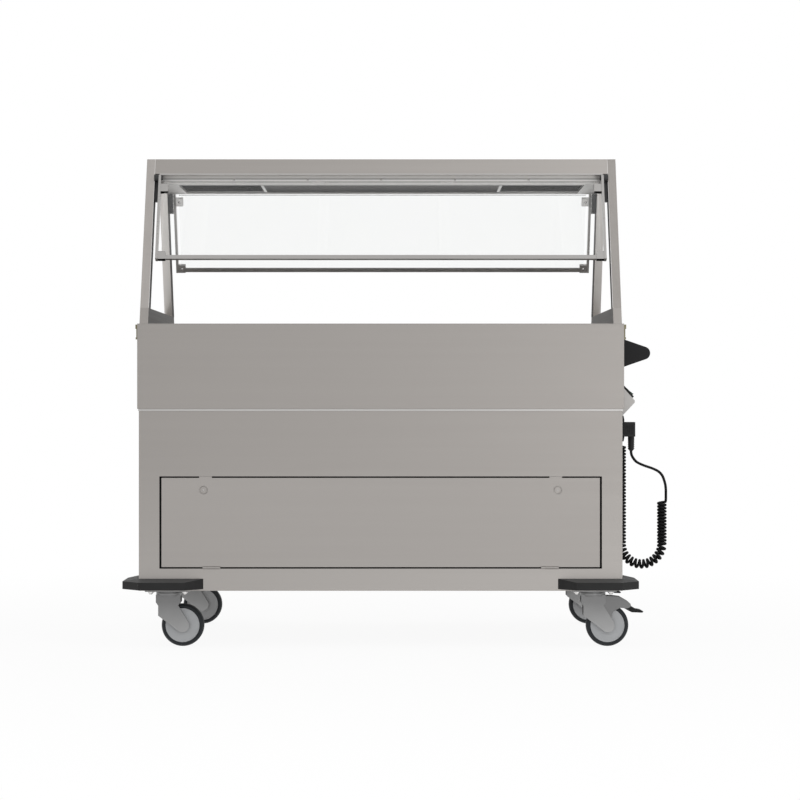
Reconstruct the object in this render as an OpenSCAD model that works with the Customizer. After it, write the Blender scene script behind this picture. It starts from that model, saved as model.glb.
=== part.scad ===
// Heated buffet trolley with three sunk wells, a glass-sided lamp canopy and castors.
// Millimetres. X runs along the trolley, -Y is the guests' side, +Z is up.
// The origin is on the floor, at the middle of the box that holds the trolley without its cord.

/* [Body] */
// Length of the upper casing and worktop
body_w = 1140; // [1060:10:1300]
// Depth of the upper casing and worktop
body_d = 650; // [600:10:760]
// Height of the worktop above the floor
work_h = 761; // [700:1:900]
// Height of the upper casing
casing_h = 200; // [170:5:220]
// Thickness of the stainless sheet
sheet = 1.5; // [1:0.5:2]
// How far the lower cabinet stands in from the upper casing
cabinet_inset = 3.5; // [2:0.5:6]
// Height of the chassis plate's underside above the floor
chassis_h = 135; // [133:1:145]
// Thickness of the chassis plate
chassis_t = 3; // [2:0.5:5]
// Side of the square posts inside the cabinet's corners
post_w = 20; // [12:1:20]
// Wall of the square posts
post_wall = 2; // [1.5:0.5:3]

/* [Wells] */
// Width of a well's opening
well_w = 306; // [290:1:312]
// Length of a well's opening
well_l = 510; // [490:1:520]
// Depth of a well below the worktop
well_depth = 205; // [150:5:215]
// Distance from one well to the next
well_pitch = 336; // [334:1:345]
// Corner radius of a well
well_r = 8; // [6:1:30]
// Wall of a well
well_wall = 1.2; // [1:0.1:2]
// Width of the rim that is welded under the worktop
well_rim = 9; // [6:1:10]
// Thickness of the heating mats
mat_t = 6; // [4:1:10]
// Width of the heating mats
mat_w = 230; // [180:5:260]
// Length of the heating mats
mat_l = 340; // [250:5:360]

/* [Drain] */
// Outer radius of the drain pipe
drain_r = 12; // [10:0.5:14]
// Wall of the drain pipe
drain_wall = 2; // [1:0.5:3]
// Height of the drain pipe's level run
drain_h = 505; // [480:5:515]
// Distance of the drain from the middle, towards the back
drain_y = 205; // [195:1:225]
// Place of the drain's outlet along the trolley
drain_out_x = 170; // [60:10:230]

/* [Service panel] */
// Distance of the service panel from the body's ends
panel_side = 56.5; // [50:0.5:120]
// Height of the service panel
panel_h = 209; // [170:0.5:260]
// Height of the panel's lower edge above the floor
panel_z = 190.5; // [188:0.5:210]
// Gap above and below the panel
panel_gap = 3; // [2.8:0.1:4]
// Gap at each end of the panel
panel_end_gap = 4.3; // [2:0.1:6]
// Depth of the panel's folded rim
panel_rim = 15; // [8:1:20]
// Distance of the locks from the panel's ends
lock_in = 98.5; // [80:0.5:130]
// Distance of the locks from the panel's upper edge
lock_drop = 28.5; // [24:0.5:45]
// Radius of a lock's face
lock_r = 10.5; // [8:0.5:13]
// Length of a lock behind the panel
lock_depth = 22; // [16:1:30]
// Reach of a lock's cam from its axis
cam_reach = 42; // [38:1:50]
// Width of the tabs that close the upper gap
tab_w = 29.5; // [20:0.5:40]
// Distance of a tab's middle from its lock, towards the panel's middle
tab_in = 4.7; // [0:0.1:6]
// Width of a panel hinge
hinge_w = 41; // [30:1:50]
// Distance of the hinges from the panel's ends
hinge_in = 117; // [100:1:150]
// Radius of a hinge's knuckles
knuckle_r = 2.6; // [2.2:0.1:2.7]
// Radius of a hinge's pin
hinge_pin_r = 1.2; // [1:0.1:1.4]

/* [Bumpers] */
// How far a bumper stands out from the cabinet
bumper_out = 39; // [25:1:50]
// Length of a bumper's legs from the cabinet's corner
bumper_leg = 151; // [100:1:180]
// Length over which a leg's end narrows
bumper_taper = 40; // [20:1:50]
// Cut at a bumper's outer corner
bumper_cut = 42.5; // [20:0.5:45]
// Height of a bumper's outer face
bumper_face = 18; // [12:1:20]
// Rise of a bumper's top towards the cabinet
bumper_rise = 6.4; // [3:0.1:8]
// Height of a bumper's underside above the chassis plate's underside
bumper_lift = 4; // [2:0.5:6]

/* [Castors] */
// Radius of a wheel with its tyre
wheel_r = 50; // [45:0.5:51]
// Thickness of the tyre's tread
tread = 10; // [7:0.5:14]
// Width of the tyre
tyre_w = 32; // [26:1:34]
// How far a wheel trails behind its swivel axis
trail = 33.5; // [25:0.5:36]
// Distance of a swivel axis from the cabinet's end
swivel_in_x = 64.5; // [62:0.5:80]
// Distance of a swivel axis from the cabinet's front and back
swivel_in_y = 59; // [56:0.5:75]
// Radius of the swivel head
head_r = 29; // [24:1:31]
// Thickness of a castor's top plate
plate_t = 4; // [3:0.5:5]
// Length of a castor's top plate
plate_l = 105; // [100:1:110]
// Width of a castor's top plate
plate_w = 85; // [80:1:95]
// Distance between the plate's bolts along the trolley
bolt_x = 80; // [76:1:84]
// Distance between the plate's bolts across the trolley
bolt_y = 60; // [56:1:64]
// Radius of the plate's bolts
bolt_r = 4; // [3:0.5:4]
// Radius of the swivel pin
king_r = 6; // [5:0.5:8]
// Radius of a wheel's axle
axle_r = 4; // [3:0.5:5]
// Thickness of a fork's cheeks
cheek_t = 3; // [2:0.5:4]
// Radius of a cheek's lower end
cheek_r = 16.5; // [13:0.5:18]
// Length of a pedal's arm from the swivel axis
pedal_reach = 119; // [112:1:125]
// Width of a pedal
pedal_w = 24; // [16:1:28]

/* [Push handle] */
// Radius of the handle's tube
grip_r = 13; // [10:0.5:14]
// Wall of the handle's tube
grip_wall = 1.5; // [1:0.5:3]
// How far the handle stands out from the casing
handle_out = 72.4; // [64:0.1:90]
// Height of the handle's axis above the floor
handle_h = 694; // [680:1:700]
// Height of a handle cheek where it meets the casing
cheek_h = 71; // [50:1:80]
// Radius of a handle cheek's tip
cheek_tip_r = 15.6; // [15:0.1:18]
// Thickness of a handle cheek
handle_cheek_t = 14; // [10:1:20]
// Length of the handle over its cheeks
handle_l = 450; // [300:10:520]

/* [Controls] */
// How far the control box stands out from the casing
control_out = 46.5; // [38:0.5:56]
// Height of the control box's upper edge above the floor
control_top = 630.8; // [622:0.2:645]
// Height of the control box's outer edge above the floor
control_tip = 578.2; // [570:0.2:585]
// Height of the control box's lower edge above the floor
control_bottom = 525.6; // [515:0.2:535]
// Length of the control box
control_l = 300; // [240:5:360]
// Distance of the control box's near end from the trolley's front
control_y = 180; // [150:5:200]
// Thickness of the fascia
fascia_t = 4.8; // [4:0.1:6]
// Radius of the control box's outer edge
tip_r = 5; // [2:0.5:8]
// Length of a rocker, down the fascia
rocker_l = 24; // [20:1:26]
// Width of a rocker
rocker_w = 14; // [10:1:20]
// How far a level rocker stands out of the fascia
rocker_rise = 2.7; // [1.5:0.1:3.5]
// Distance of the first and last rocker's middle from the box's ends
rocker_end = 16.5; // [12:0.5:40]
// Tilt of a rocker to each side
rocker_tilt = 8; // [5:0.5:10]

/* [Socket and cord] */
// Height of the parking socket
socket_h = 62; // [54:1:66]
// Width of the parking socket
socket_w = 50; // [46:1:60]
// How far the parking socket stands out
socket_out = 16.9; // [15:0.1:20]
// Height of the parking socket's middle above the floor
socket_z = 513.5; // [505:0.5:520]
// Distance of the parking socket from the trolley's front
socket_y = 150; // [130:1:155]
// Radius of the plug's nose
nose_r = 18; // [16:0.5:20]
// Height of the plug's body
plug_h = 35; // [30:1:38]
// Width of the plug's body
plug_w = 38; // [36:1:42]
// Length of the plug's body beyond the socket
plug_out = 26.4; // [22:0.2:30]
// Radius of the cable gland's flange
gland_r = 18; // [14:0.5:20]
// Diameter of the cord
cord_d = 6.5; // [6:0.1:7]
// Radius of the curls, to the middle of the cord
curl_r = 8.75; // [8:0.05:10]
// Curls in the hanging leg
curls_down = 30; // [20:1:30]
// Curls in the bend
curls_bend = 14; // [10:1:14]
// Curls in the rising leg
curls_up = 13; // [8:1:13]
// Radius of the bend of the curly cord
bend_r = 49.5; // [45:0.5:55]
// Height of the top curl above the floor
curl_top = 471; // [460:1:472]
// Height of the bend's centre above the floor
bend_h = 232; // [230:1:245]
// Height of the last curl above the floor
curl_end = 334; // [320:1:345]

/* [Canopy frame] */
// Overall height of the trolley
canopy_h = 1165; // [1130:1:1200]
// Width of the frame's tubes, along the trolley
tube_w = 20; // [16:1:25]
// Depth of a leg, measured level
leg_d = 43; // [38:1:50]
// Depth of the canopy's flat top
canopy_d = 293; // [280:1:310]
// Wall of the frame's tubes
tube_wall = 1.5; // [1:0.5:2]
// Height of the base rails
rail_h = 38; // [30:1:45]
// Height of the upper rails
top_rail_h = 50; // [46:1:52]
// Distance of the base rails from the worktop's front and back
rail_in = 20; // [15:1:30]
// Height of the canopy's aprons
apron_h = 37; // [32:1:40]
// Depth of the lamp tray
tray_d = 252; // [230:1:256]
// Height of the lamp tray
tray_h = 23; // [18:1:24]
// Width of the lamp tray's lower flange at the front and back
tray_rim = 20; // [12:1:24]
// Width of the lamp tray's lower flange at its ends
tray_end = 52; // [40:1:60]
// Length of the lamp
lamp_l = 578; // [400:2:700]
// Depth of the lamp
lamp_d = 176; // [120:2:180]

/* [Glass flaps] */
// Drop of the flaps' hinge pins below the canopy's top
pivot_drop = 47; // [45:1:51]
// Distance of the hinge pins from the front and back
pivot_in = 157; // [154:1:160]
// Lean of a flap from upright, in degrees
flap_lean = 22; // [18:0.5:24]
// Length of a flap's arms below the hinge pin
arm_l = 219; // [200:0.5:230]
// Width of a flap's arms
arm_w = 16; // [12:1:18]
// Thickness of a flap's arms
arm_t = 6; // [4:1:7]
// Thickness of the glass
glass_t = 5; // [4:1:6]
// Height of the bar along a flap's lower edge
bar_w = 10; // [8:0.5:15]
// Thickness of the bar along a flap's lower edge
bar_t = 8; // [7.5:0.5:10]
// Length of a glass clamp, down the flap
clamp_h = 20.5; // [16:0.5:26]
// Thickness of a glass clamp
clamp_t = 12; // [9:0.5:20]
// How far a glass clamp reaches over the glass
clamp_reach = 10; // [6:0.5:16]
// Distance of the upper clamps below the hinge pins
clamp_drop = 19; // [14:0.5:30]
// Thickness of a hinge plate
hinge_plate_t = 10.7; // [8:0.1:11]
// Height of a hinge plate
hinge_plate_h = 68; // [50:1:72]
// Radius of a flap's hinge pins
flap_pin_r = 4; // [3:0.5:5]

/* [Hidden] */
$fn = 48;

// Colours of the finishes
steel = [0.66, 0.64, 0.62];
bright_steel = [0.74, 0.73, 0.71];
zinc = [0.57, 0.58, 0.58];
yellow_zinc = [0.68, 0.60, 0.35];
black = [0.13, 0.13, 0.13];
rubber = [0.20, 0.21, 0.22];
wheel_grey = [0.60, 0.61, 0.62];
light_grey = [0.72, 0.72, 0.71];
green = [0.05, 0.30, 0.16];
smoke = [0.30, 0.30, 0.30];
clear = [0.85, 0.90, 0.90, 0.35];

// Clearances: turning parts, loose parts and holes for bolts
run_gap = 0.05;
slip_gap = 0.3;
loose_gap = 1;
bolt_gap = 0.2;

// Outlines of the body, measured from its own middle
body_x = body_w / 2;
body_y = body_d / 2;
cab_x = body_x - cabinet_inset;
cab_y = body_y - cabinet_inset;
cab_top = work_h - casing_h;
floor_top = chassis_h + chassis_t;
casing_top = work_h - sheet;
casing_flange = 14;

// The body's middle lies off the origin, because the handle stands out further than a bumper
shift_x = (cab_x + bumper_out - body_x - handle_out) / 2;

// Places of the castors, the service panel's fittings and the cord
swivel_x = cab_x - swivel_in_x;
swivel_y = cab_y - swivel_in_y;
plate_under = chassis_h - plate_t;
fork_top = plate_under - slip_gap;
head_h = 12;
crown_z = fork_top - head_h;
cheek_in = tyre_w / 2 + 2;
waist_half = 23.5;
waist_z = 2 * wheel_r - 3.5;
knee_z = wheel_r + 23;
hub_half = cheek_in - 0.5;
rim_r = wheel_r - tread;
brake_pin_r = 3;
brake_x = 24;
brake_z = 2 * wheel_r + 9;
brake_half = 7;
panel_w = body_w - 2 * panel_side;
panel_top = panel_z + panel_h;
hinge_x = panel_w / 2 - hinge_in;
hinge_z = panel_z - panel_gap / 2;
knuckle_l = hinge_w / 4;
notch = knuckle_r + 0.4;
leaf_h = 22;
lock_x = panel_w / 2 - lock_in;
lock_z = panel_top - lock_drop;
cam_w = 12;
lock_notch = cam_reach - 5;
cam_t = 3;
cam_y = -cab_y + sheet + loose_gap;
well_base = work_h - well_depth - well_wall;
bumper_z = chassis_h + bumper_lift;

// Places of the control box; its slope runs from its upper edge down to its outer edge
slope_dx = control_out;
slope_dz = control_top - control_tip;
slope_l = norm([slope_dx, slope_dz]);
slope_turn = atan2(slope_dz, slope_dx);
fascia_l = slope_l - 12;
box_wall = 1.5;
rocker_s = 0.6 * slope_l;
rocker_pivot = fascia_t / 2;
rocker_pitch = (control_l - 2 * rocker_end) / 3;
rocker_pin_r = 1.2;
rocker_side = 0.8;
control_mid = -body_y + control_y + control_l / 2;

// Places of the canopy and the flaps
frame_x1 = body_x - 3;
frame_x0 = frame_x1 - tube_w;
rail_top = work_h + rail_h;
lean = (body_y - rail_in - canopy_d / 2) / (canopy_h - work_h);
pivot_h = canopy_h - pivot_drop;
apron_z = canopy_h - apron_h;
tray_z = apron_z - tray_h;
tray_lip = 6;
open_x = frame_x0 - tray_end;
open_y = tray_d / 2 - tray_rim;
hinge_plate_x = frame_x0 - hinge_plate_t;
hinge_plate_top = apron_z - 0.5;
hinge_plate_in = 5;
hinge_plate_d = 28;
arm_x1 = hinge_plate_x - slip_gap;
arm_x0 = arm_x1 - arm_t;
glass_x = arm_x0 - 8;
pivot_y = -body_y + pivot_in;
bar_mid = arm_l - 1 - bar_w / 2;

// Sizes of the worktop's clamp screws
clamp_in = 45;
clamp_w = 10;
clamp_l = 36;
clamp_r = 2.5;

// Places of the cord; the curls hang in one plane beside the cabinet
curl_y = -112;
curl_x = cab_x + 18.1;
socket_mid = -body_y + socket_y;
plug_x0 = cab_x + socket_out + slip_gap;
relief_r = 7.7;
relief_x = plug_x0 + plug_out - relief_r - 0.4;
relief_h = 34;
plug_mid = socket_z - 2;
plug_low = plug_mid - plug_h / 2;
relief_low = plug_low - relief_h;
gland_z = 503;
gland_low = 490;

// How far forward a leg's front edge is at a height
function leg_front(z) = -body_y + rail_in + lean * (z - work_h);

// A point where two lines meet, each given by a point and a direction
function meet(p, d, q, e) = p + d * cross(q - p, e) / cross(d, e);

// A point on the control box's slope, in X and Z
function on_line(s, h) = [body_x, control_top]
    + s * [cos(slope_turn), -sin(slope_turn)] + h * [sin(slope_turn), cos(slope_turn)];

// Everything is drawn from the body's middle and then moved to the origin
module on_body() {
    translate([shift_x, 0, 0]) children();
}

module both_x() {
    children();
    mirror([1, 0, 0]) children();
}

module both_y() {
    children();
    mirror([0, 1, 0]) children();
}

module slab(x0, x1, y0, y1, z0, z1) {
    translate([x0, y0, z0]) cube([x1 - x0, y1 - y0, z1 - z0]);
}

// A plate whose outline is drawn in X and Z, from y0 to y1
module upright(y0, y1) {
    translate([0, y1, 0]) rotate([90, 0, 0]) linear_extrude(y1 - y0) children();
}

// A bar whose outline is drawn in Y and Z, from x0 to x1
module lengthways(x0, x1) {
    translate([x0, 0, 0]) rotate([90, 0, 90]) linear_extrude(x1 - x0) children();
}

module rod_x(r, x0, x1) {
    translate([x0, 0, 0]) rotate([0, 90, 0]) cylinder(r = r, h = x1 - x0);
}

module rod_y(r, y0, y1) {
    translate([0, y1, 0]) rotate([90, 0, 0]) cylinder(r = r, h = y1 - y0);
}

// An upright block with rounded corners, such as a well
module rounded_block(w, l, r, z0, z1) {
    translate([0, 0, z0]) linear_extrude(z1 - z0) {
        square([w - 2 * r, l], center = true);
        square([w, l - 2 * r], center = true);
        for (x = [-1, 1], y = [-1, 1])
            translate([x * (w / 2 - r), y * (l / 2 - r)]) circle(r);
    }
}

module each_castor() {
    for (x = [-1, 1], y = [-1, 1])
        translate([x * swivel_x, y * swivel_y, 0]) children();
}

module each_bolt() {
    for (x = [-1, 1], y = [-1, 1])
        translate([x * bolt_x / 2, y * bolt_y / 2, 0]) children();
}

module base_plate() {
    color(steel) on_body() difference() {
        slab(-cab_x + sheet, cab_x - sheet, -cab_y + sheet, cab_y - sheet, chassis_h, floor_top);
        each_castor() each_bolt()
            translate([0, 0, chassis_h - 1]) cylinder(r = bolt_r + bolt_gap, h = chassis_t + 2);
        translate([drain_out_x, drain_y, chassis_h - 1])
            cylinder(r = drain_r + loose_gap, h = chassis_t + 2);
    }
}

module frame_posts() {
    color(zinc) on_body() both_x() both_y()
        translate([cab_x - sheet - post_w, cab_y - sheet - post_w, floor_top]) difference() {
            cube([post_w, post_w, cab_top - floor_top]);
            translate([post_wall, post_wall, -1])
                cube([post_w - 2 * post_wall, post_w - 2 * post_wall, cab_top - floor_top + 2]);
        }
}

module cabinet_front() {
    color(steel) on_body() difference() {
        slab(-cab_x, cab_x, -cab_y, -cab_y + sheet, chassis_h, cab_top);
        slab(-panel_w / 2 - panel_end_gap, panel_w / 2 + panel_end_gap,
            -cab_y - 1, -cab_y + sheet + 1, panel_z - panel_gap, panel_top + panel_gap);
        both_x() slab(hinge_x - hinge_w / 2 - slip_gap, hinge_x + hinge_w / 2 + slip_gap,
            -cab_y - 1, -cab_y + sheet + 1, hinge_z - notch, panel_z);
    }
}

module cabinet_back() {
    color(steel) on_body() slab(-cab_x, cab_x, cab_y - sheet, cab_y, chassis_h, cab_top);
}

module cabinet_side() {
    slab(cab_x - sheet, cab_x, -cab_y + sheet, cab_y - sheet, chassis_h, cab_top);
}

module cabinet_side_left() {
    color(steel) on_body() mirror([1, 0, 0]) cabinet_side();
}

module cabinet_side_right() {
    color(steel) on_body() cabinet_side();
}

module upper_casing() {
    color(steel) on_body() difference() {
        slab(-body_x, body_x, -body_y, body_y, cab_top, casing_top);
        slab(-body_x + sheet, body_x - sheet, -body_y + sheet, body_y - sheet,
            cab_top + sheet, casing_top + 1);
        slab(-body_x + casing_flange, body_x - casing_flange,
            -body_y + casing_flange, body_y - casing_flange, cab_top - 1, cab_top + sheet + 1);
    }
}

module worktop() {
    color(steel) on_body() difference() {
        slab(-body_x, body_x, -body_y, body_y, casing_top, work_h);
        for (i = [-1:1]) translate([i * well_pitch, 0, 0])
            rounded_block(well_w, well_l, well_r, casing_top - 1, work_h + 1);
    }
}

// A well hangs by its rim under the worktop; its drain is near the back
module well(i) {
    color(bright_steel) on_body() translate([i * well_pitch, 0, 0]) difference() {
        union() {
            rounded_block(well_w + 2 * well_rim, well_l + 2 * well_rim, well_r + well_rim,
                casing_top - well_wall, casing_top);
            rounded_block(well_w + 2 * well_wall, well_l + 2 * well_wall, well_r + well_wall,
                well_base, casing_top);
        }
        rounded_block(well_w, well_l, well_r, well_base + well_wall, casing_top + 1);
        translate([0, drain_y, well_base - 1])
            cylinder(r = drain_r - drain_wall, h = well_wall + 2);
    }
}

module well_left() {
    well(-1);
}

module well_middle() {
    well(0);
}

module well_right() {
    well(1);
}

module well_heaters() {
    color(black) on_body() for (i = [-1:1]) translate([i * well_pitch, 0, 0])
        slab(-mat_w / 2, mat_w / 2, -mat_l / 2, mat_l / 2, well_base - mat_t, well_base);
}

// The pipe's runs, at the outer or the inner radius
module drain_runs(r, cap) {
    translate([0, drain_y, drain_h]) rod_x(r, -well_pitch - drain_r + cap, well_pitch + drain_r - cap);
    for (i = [-1:1]) translate([i * well_pitch, drain_y, drain_h])
        cylinder(r = r, h = well_base - drain_h + (cap > 0 ? 1 : 0));
    translate([drain_out_x, drain_y, chassis_h - 6 - (cap > 0 ? 1 : 0)])
        cylinder(r = r, h = drain_h - chassis_h + 6);
}

module drain_pipe() {
    color(zinc) on_body() difference() {
        drain_runs(drain_r, 0);
        drain_runs(drain_r - drain_wall, drain_wall);
    }
}

// The panel is a shallow tray; two knuckles at its lower edge carry it
module service_panel() {
    half = panel_w / 2;
    color(steel) on_body() difference() {
        union() {
            difference() {
                slab(-half, half, -cab_y, -cab_y + panel_rim, panel_z, panel_top);
                slab(-half + sheet, half - sheet, -cab_y + sheet, -cab_y + panel_rim + 1,
                    panel_z + sheet, panel_top - sheet);
                both_x() slab(hinge_x - 0.8 * hinge_w, hinge_x + 0.8 * hinge_w,
                    -cab_y + sheet, -cab_y + panel_rim + 1, panel_z - 1, panel_z + sheet + 1);
                both_x() slab(lock_x - lock_notch, lock_x + 2 * lock_r,
                    -cab_y + sheet, -cab_y + panel_rim + 1, panel_top - sheet - 1, panel_top + 1);
                both_x() slab(hinge_x - hinge_w / 2 - slip_gap, hinge_x + hinge_w / 2 + slip_gap,
                    -cab_y - 1, -cab_y + sheet, panel_z - 1, hinge_z + notch);
            }
            both_x() slab(lock_x - tab_in - tab_w / 2, lock_x - tab_in + tab_w / 2,
                -cab_y, -cab_y + sheet, panel_top - 1, panel_top + panel_gap - slip_gap);
            both_x() slab(hinge_x - knuckle_l, hinge_x + knuckle_l,
                -cab_y + sheet, -cab_y + 2 * sheet, hinge_z, hinge_z + leaf_h);
            both_x() translate([0, -cab_y, hinge_z])
                rod_x(knuckle_r, hinge_x - knuckle_l, hinge_x + knuckle_l);
        }
        both_x() translate([0, -cab_y, hinge_z])
            rod_x(hinge_pin_r + run_gap, hinge_x - hinge_w, hinge_x + hinge_w);
        both_x() translate([lock_x, 0, lock_z])
            rod_y(lock_r, -cab_y - 1, -cab_y + sheet + 1);
    }
}

// A hinge's fixed half: a leaf behind the front sheet, two knuckles and the pin
module panel_hinges() {
    k = knuckle_l + slip_gap;
    color(bright_steel) on_body() both_x() {
        for (side = [0, 1]) {
            x0 = hinge_x + (side == 0 ? -hinge_w / 2 : k);
            x1 = hinge_x + (side == 0 ? -k : hinge_w / 2);
            slab(x0, x1, -cab_y + sheet, -cab_y + 2 * sheet, hinge_z - leaf_h, hinge_z);
            translate([0, -cab_y, hinge_z]) rod_x(knuckle_r, x0, x1);
        }
        slab(hinge_x - hinge_w / 2, hinge_x + hinge_w / 2, -cab_y + sheet, -cab_y + 2 * sheet,
            hinge_z - leaf_h, hinge_z - notch);
        translate([0, -cab_y, hinge_z])
            rod_x(hinge_pin_r, hinge_x - hinge_w / 2, hinge_x + hinge_w / 2);
    }
}

// A round lock, flush with the panel, with its cam lying towards the panel's middle
module panel_lock() {
    color(bright_steel) on_body() translate([lock_x, 0, lock_z]) {
        difference() {
            rod_y(lock_r - run_gap, -cab_y, cam_y + cam_t);
            difference() {
                rod_y(lock_r - 1.5, -cab_y - 1, -cab_y + 0.6);
                rod_y(lock_r - 2.3, -cab_y - 2, -cab_y + 1);
            }
        }
        rod_y(lock_r - 3, cam_y, -cab_y + lock_depth);
        slab(-cam_reach, 0, cam_y, cam_y + cam_t, -cam_w / 2, cam_w / 2);
    }
}

module panel_lock_left() {
    translate([2 * shift_x, 0, 0]) mirror([1, 0, 0]) panel_lock();
}

module panel_lock_right() {
    panel_lock();
}

// A moulded corner guard, seen from above as an L with a cut corner and narrowed ends
module corner_bumper() {
    out = bumper_out;
    leg = bumper_leg;
    plan = [[-leg, 0], [-leg + bumper_taper, -out], [out - bumper_cut, -out],
        [out, bumper_cut - out], [out, leg - bumper_taper], [0, leg], [0, 0]];
    n = len(plan);
    tops = [for (p = plan) p[0] <= 0 && p[1] >= 0 ? bumper_face + bumper_rise : bumper_face];
    points = concat([for (p = plan) [p[0], p[1], 0]],
        [for (i = [0:n - 1]) [plan[i][0], plan[i][1], tops[i]]]);
    under = [for (i = [0:n - 3]) [n - 1, i, i + 1]];
    upper = [for (i = [0:n - 3]) [2 * n - 1, n + i + 1, n + i]];
    sides = [for (i = [0:n - 1]) [i, n + i, n + (i + 1) % n, (i + 1) % n]];
    translate([cab_x, -cab_y, bumper_z]) polyhedron(points, concat(under, upper, sides));
}

module corner_bumpers() {
    color(rubber) on_body() both_x() both_y() corner_bumper();
}

// Top plates, bolted under the chassis plate, each with the pin that its fork turns on
module castor_plates() {
    color(zinc) on_body() each_castor() {
        difference() {
            translate([-plate_l / 2, -plate_w / 2, plate_under]) cube([plate_l, plate_w, plate_t]);
            each_bolt() translate([0, 0, plate_under - 1])
                cylinder(r = bolt_r + bolt_gap, h = plate_t + 2);
        }
        translate([0, 0, crown_z - slip_gap]) cylinder(r = king_r, h = plate_under - crown_z + slip_gap + 1);
        translate([0, 0, crown_z - slip_gap - 4]) cylinder(r = king_r + 4, h = 4);
    }
}

// Bolts with a head above the chassis plate and a domed nut under the castor's plate
module castor_bolts() {
    color(light_grey) on_body() each_castor() each_bolt() {
        translate([0, 0, plate_under - 1]) cylinder(r = bolt_r, h = floor_top - plate_under + 2);
        translate([0, 0, floor_top]) cylinder(r = bolt_r + 2.5, h = 5);
        translate([0, 0, plate_under - 7]) rotate_extrude()
            polygon([[0, 0], [bolt_r - 1, 0], [bolt_r + 1.5, 3.5], [bolt_r + 2.5, 3.5],
                [bolt_r + 2.5, 7], [0, 7]]);
    }
}

// A fork's cheek: a broad head, a waist and a leg that runs down to the axle
module fork_cheek() {
    head_z = waist_z + 8;
    polygon([[-head_r, crown_z + 4], [-head_r, head_z], [-waist_half, waist_z],
        [waist_half, waist_z], [head_r, head_z], [head_r, crown_z + 4]]);
    hull() {
        polygon([[-waist_half, knee_z], [-waist_half, waist_z + 1], [waist_half, waist_z + 1]]);
        translate([trail, wheel_r]) circle(cheek_r);
    }
}

// A pedal's guard: a sickle from the fork's head over the wheel, out to the pedal's pad
module guard_plate() {
    polygon([[0, crown_z + 2], [trail + 14, crown_z],
        for (p = [[29.4, 66.7], [41.3, 60], [48.4, 56], [53.9, 51.2], [55.5, 45.7], [52, 41.7],
            [46, 39.8], [29.4, 41], [18.2, 35.7], [13.9, 32.1], [10.3, 26.2], [9.1, 16.7],
            [-13.5, 34]]) [trail + p[0], wheel_r + p[1]]]);
}

// A swivel fork, with the riveted axle and, on a braked castor, the pedal's pin and guard plates
module castor_fork(x, y, braked) {
    color(zinc) on_body() translate([x * swivel_x, y * swivel_y, 0]) {
        difference() {
            union() {
                translate([0, 0, crown_z]) cylinder(r = head_r, h = head_h);
                both_y() upright(cheek_in, cheek_in + cheek_t) fork_cheek();
                if (braked) {
                    both_y() upright(cheek_in - 1.4, cheek_in + 0.1)
                        guard_plate();
                    translate([brake_x, 0, brake_z]) rod_y(brake_pin_r, -cheek_in - 1, cheek_in + 1);
                }
            }
            translate([0, 0, crown_z - 1]) cylinder(r = king_r + run_gap, h = head_h + 2);
        }
        translate([trail, 0, wheel_r])
            rod_y(axle_r, -cheek_in - cheek_t, cheek_in + cheek_t);
    }
}

module castor_fork_fl() {
    castor_fork(-1, -1, false);
}

module castor_fork_fr() {
    castor_fork(1, -1, true);
}

module castor_fork_bl() {
    castor_fork(-1, 1, false);
}

module castor_fork_br() {
    castor_fork(1, 1, true);
}

// A turned shape round a wheel's axle; its outline gives radius and distance along the axle
module wheel_shape(x, y) {
    on_body() translate([x * swivel_x + trail, y * swivel_y, wheel_r]) rotate([90, 0, 0])
        rotate_extrude($fn = 96) children();
}

module castor_wheel(x, y) {
    inner = axle_r + run_gap;
    face = hub_half - 3;
    color(wheel_grey) wheel_shape(x, y)
        polygon([[inner, -hub_half], [inner + 8, -hub_half], [inner + 10, -face], [rim_r - 3, -face],
            [rim_r - 2, -tyre_w / 2 + 1], [rim_r, -tyre_w / 2 + 1], [rim_r, tyre_w / 2 - 1],
            [rim_r - 2, tyre_w / 2 - 1], [rim_r - 3, face], [inner + 10, face],
            [inner + 8, hub_half], [inner, hub_half]]);
}

module castor_tyre(x, y) {
    inner = rim_r + 0.1;
    half = tyre_w / 2;
    color(rubber) wheel_shape(x, y)
        polygon([[inner, -half + 1], [inner + 2, -half], [wheel_r - 4, -half], [wheel_r - 1, -half + 5],
            [wheel_r, -half + 9], [wheel_r, half - 9], [wheel_r - 1, half - 5], [wheel_r - 4, half],
            [inner + 2, half], [inner, half - 1]]);
}

module castor_wheel_fl() {
    castor_wheel(-1, -1);
}

module castor_wheel_fr() {
    castor_wheel(1, -1);
}

module castor_wheel_bl() {
    castor_wheel(-1, 1);
}

module castor_wheel_br() {
    castor_wheel(1, 1);
}

module castor_tyre_fl() {
    castor_tyre(-1, -1);
}

module castor_tyre_fr() {
    castor_tyre(1, -1);
}

module castor_tyre_bl() {
    castor_tyre(-1, 1);
}

module castor_tyre_br() {
    castor_tyre(1, 1);
}

// The pedal's steel arm reaches over the wheel from its pin; heights are from the tyre's top
module brake_arm(y) {
    far = pedal_reach;
    top = 2 * wheel_r;
    color(zinc) on_body() translate([swivel_x, y * swivel_y, 0]) difference() {
        union() {
            translate([brake_x, 0, brake_z]) rod_y(brake_pin_r + 3.5, -brake_half, brake_half);
            upright(-brake_half, brake_half)
                polygon([[brake_x, top + 15], [far - 60, top + 16.5], [far - 47, top + 8],
                    [far - 28, top - 6.4], [far - 41.6, top - 12.9], [far - 53, top - 7],
                    [far - 67, top + 3], [brake_x, top + 3]]);
        }
        translate([brake_x, 0, brake_z])
            rod_y(brake_pin_r + run_gap, -brake_half - 1, brake_half + 1);
    }
}

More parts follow.
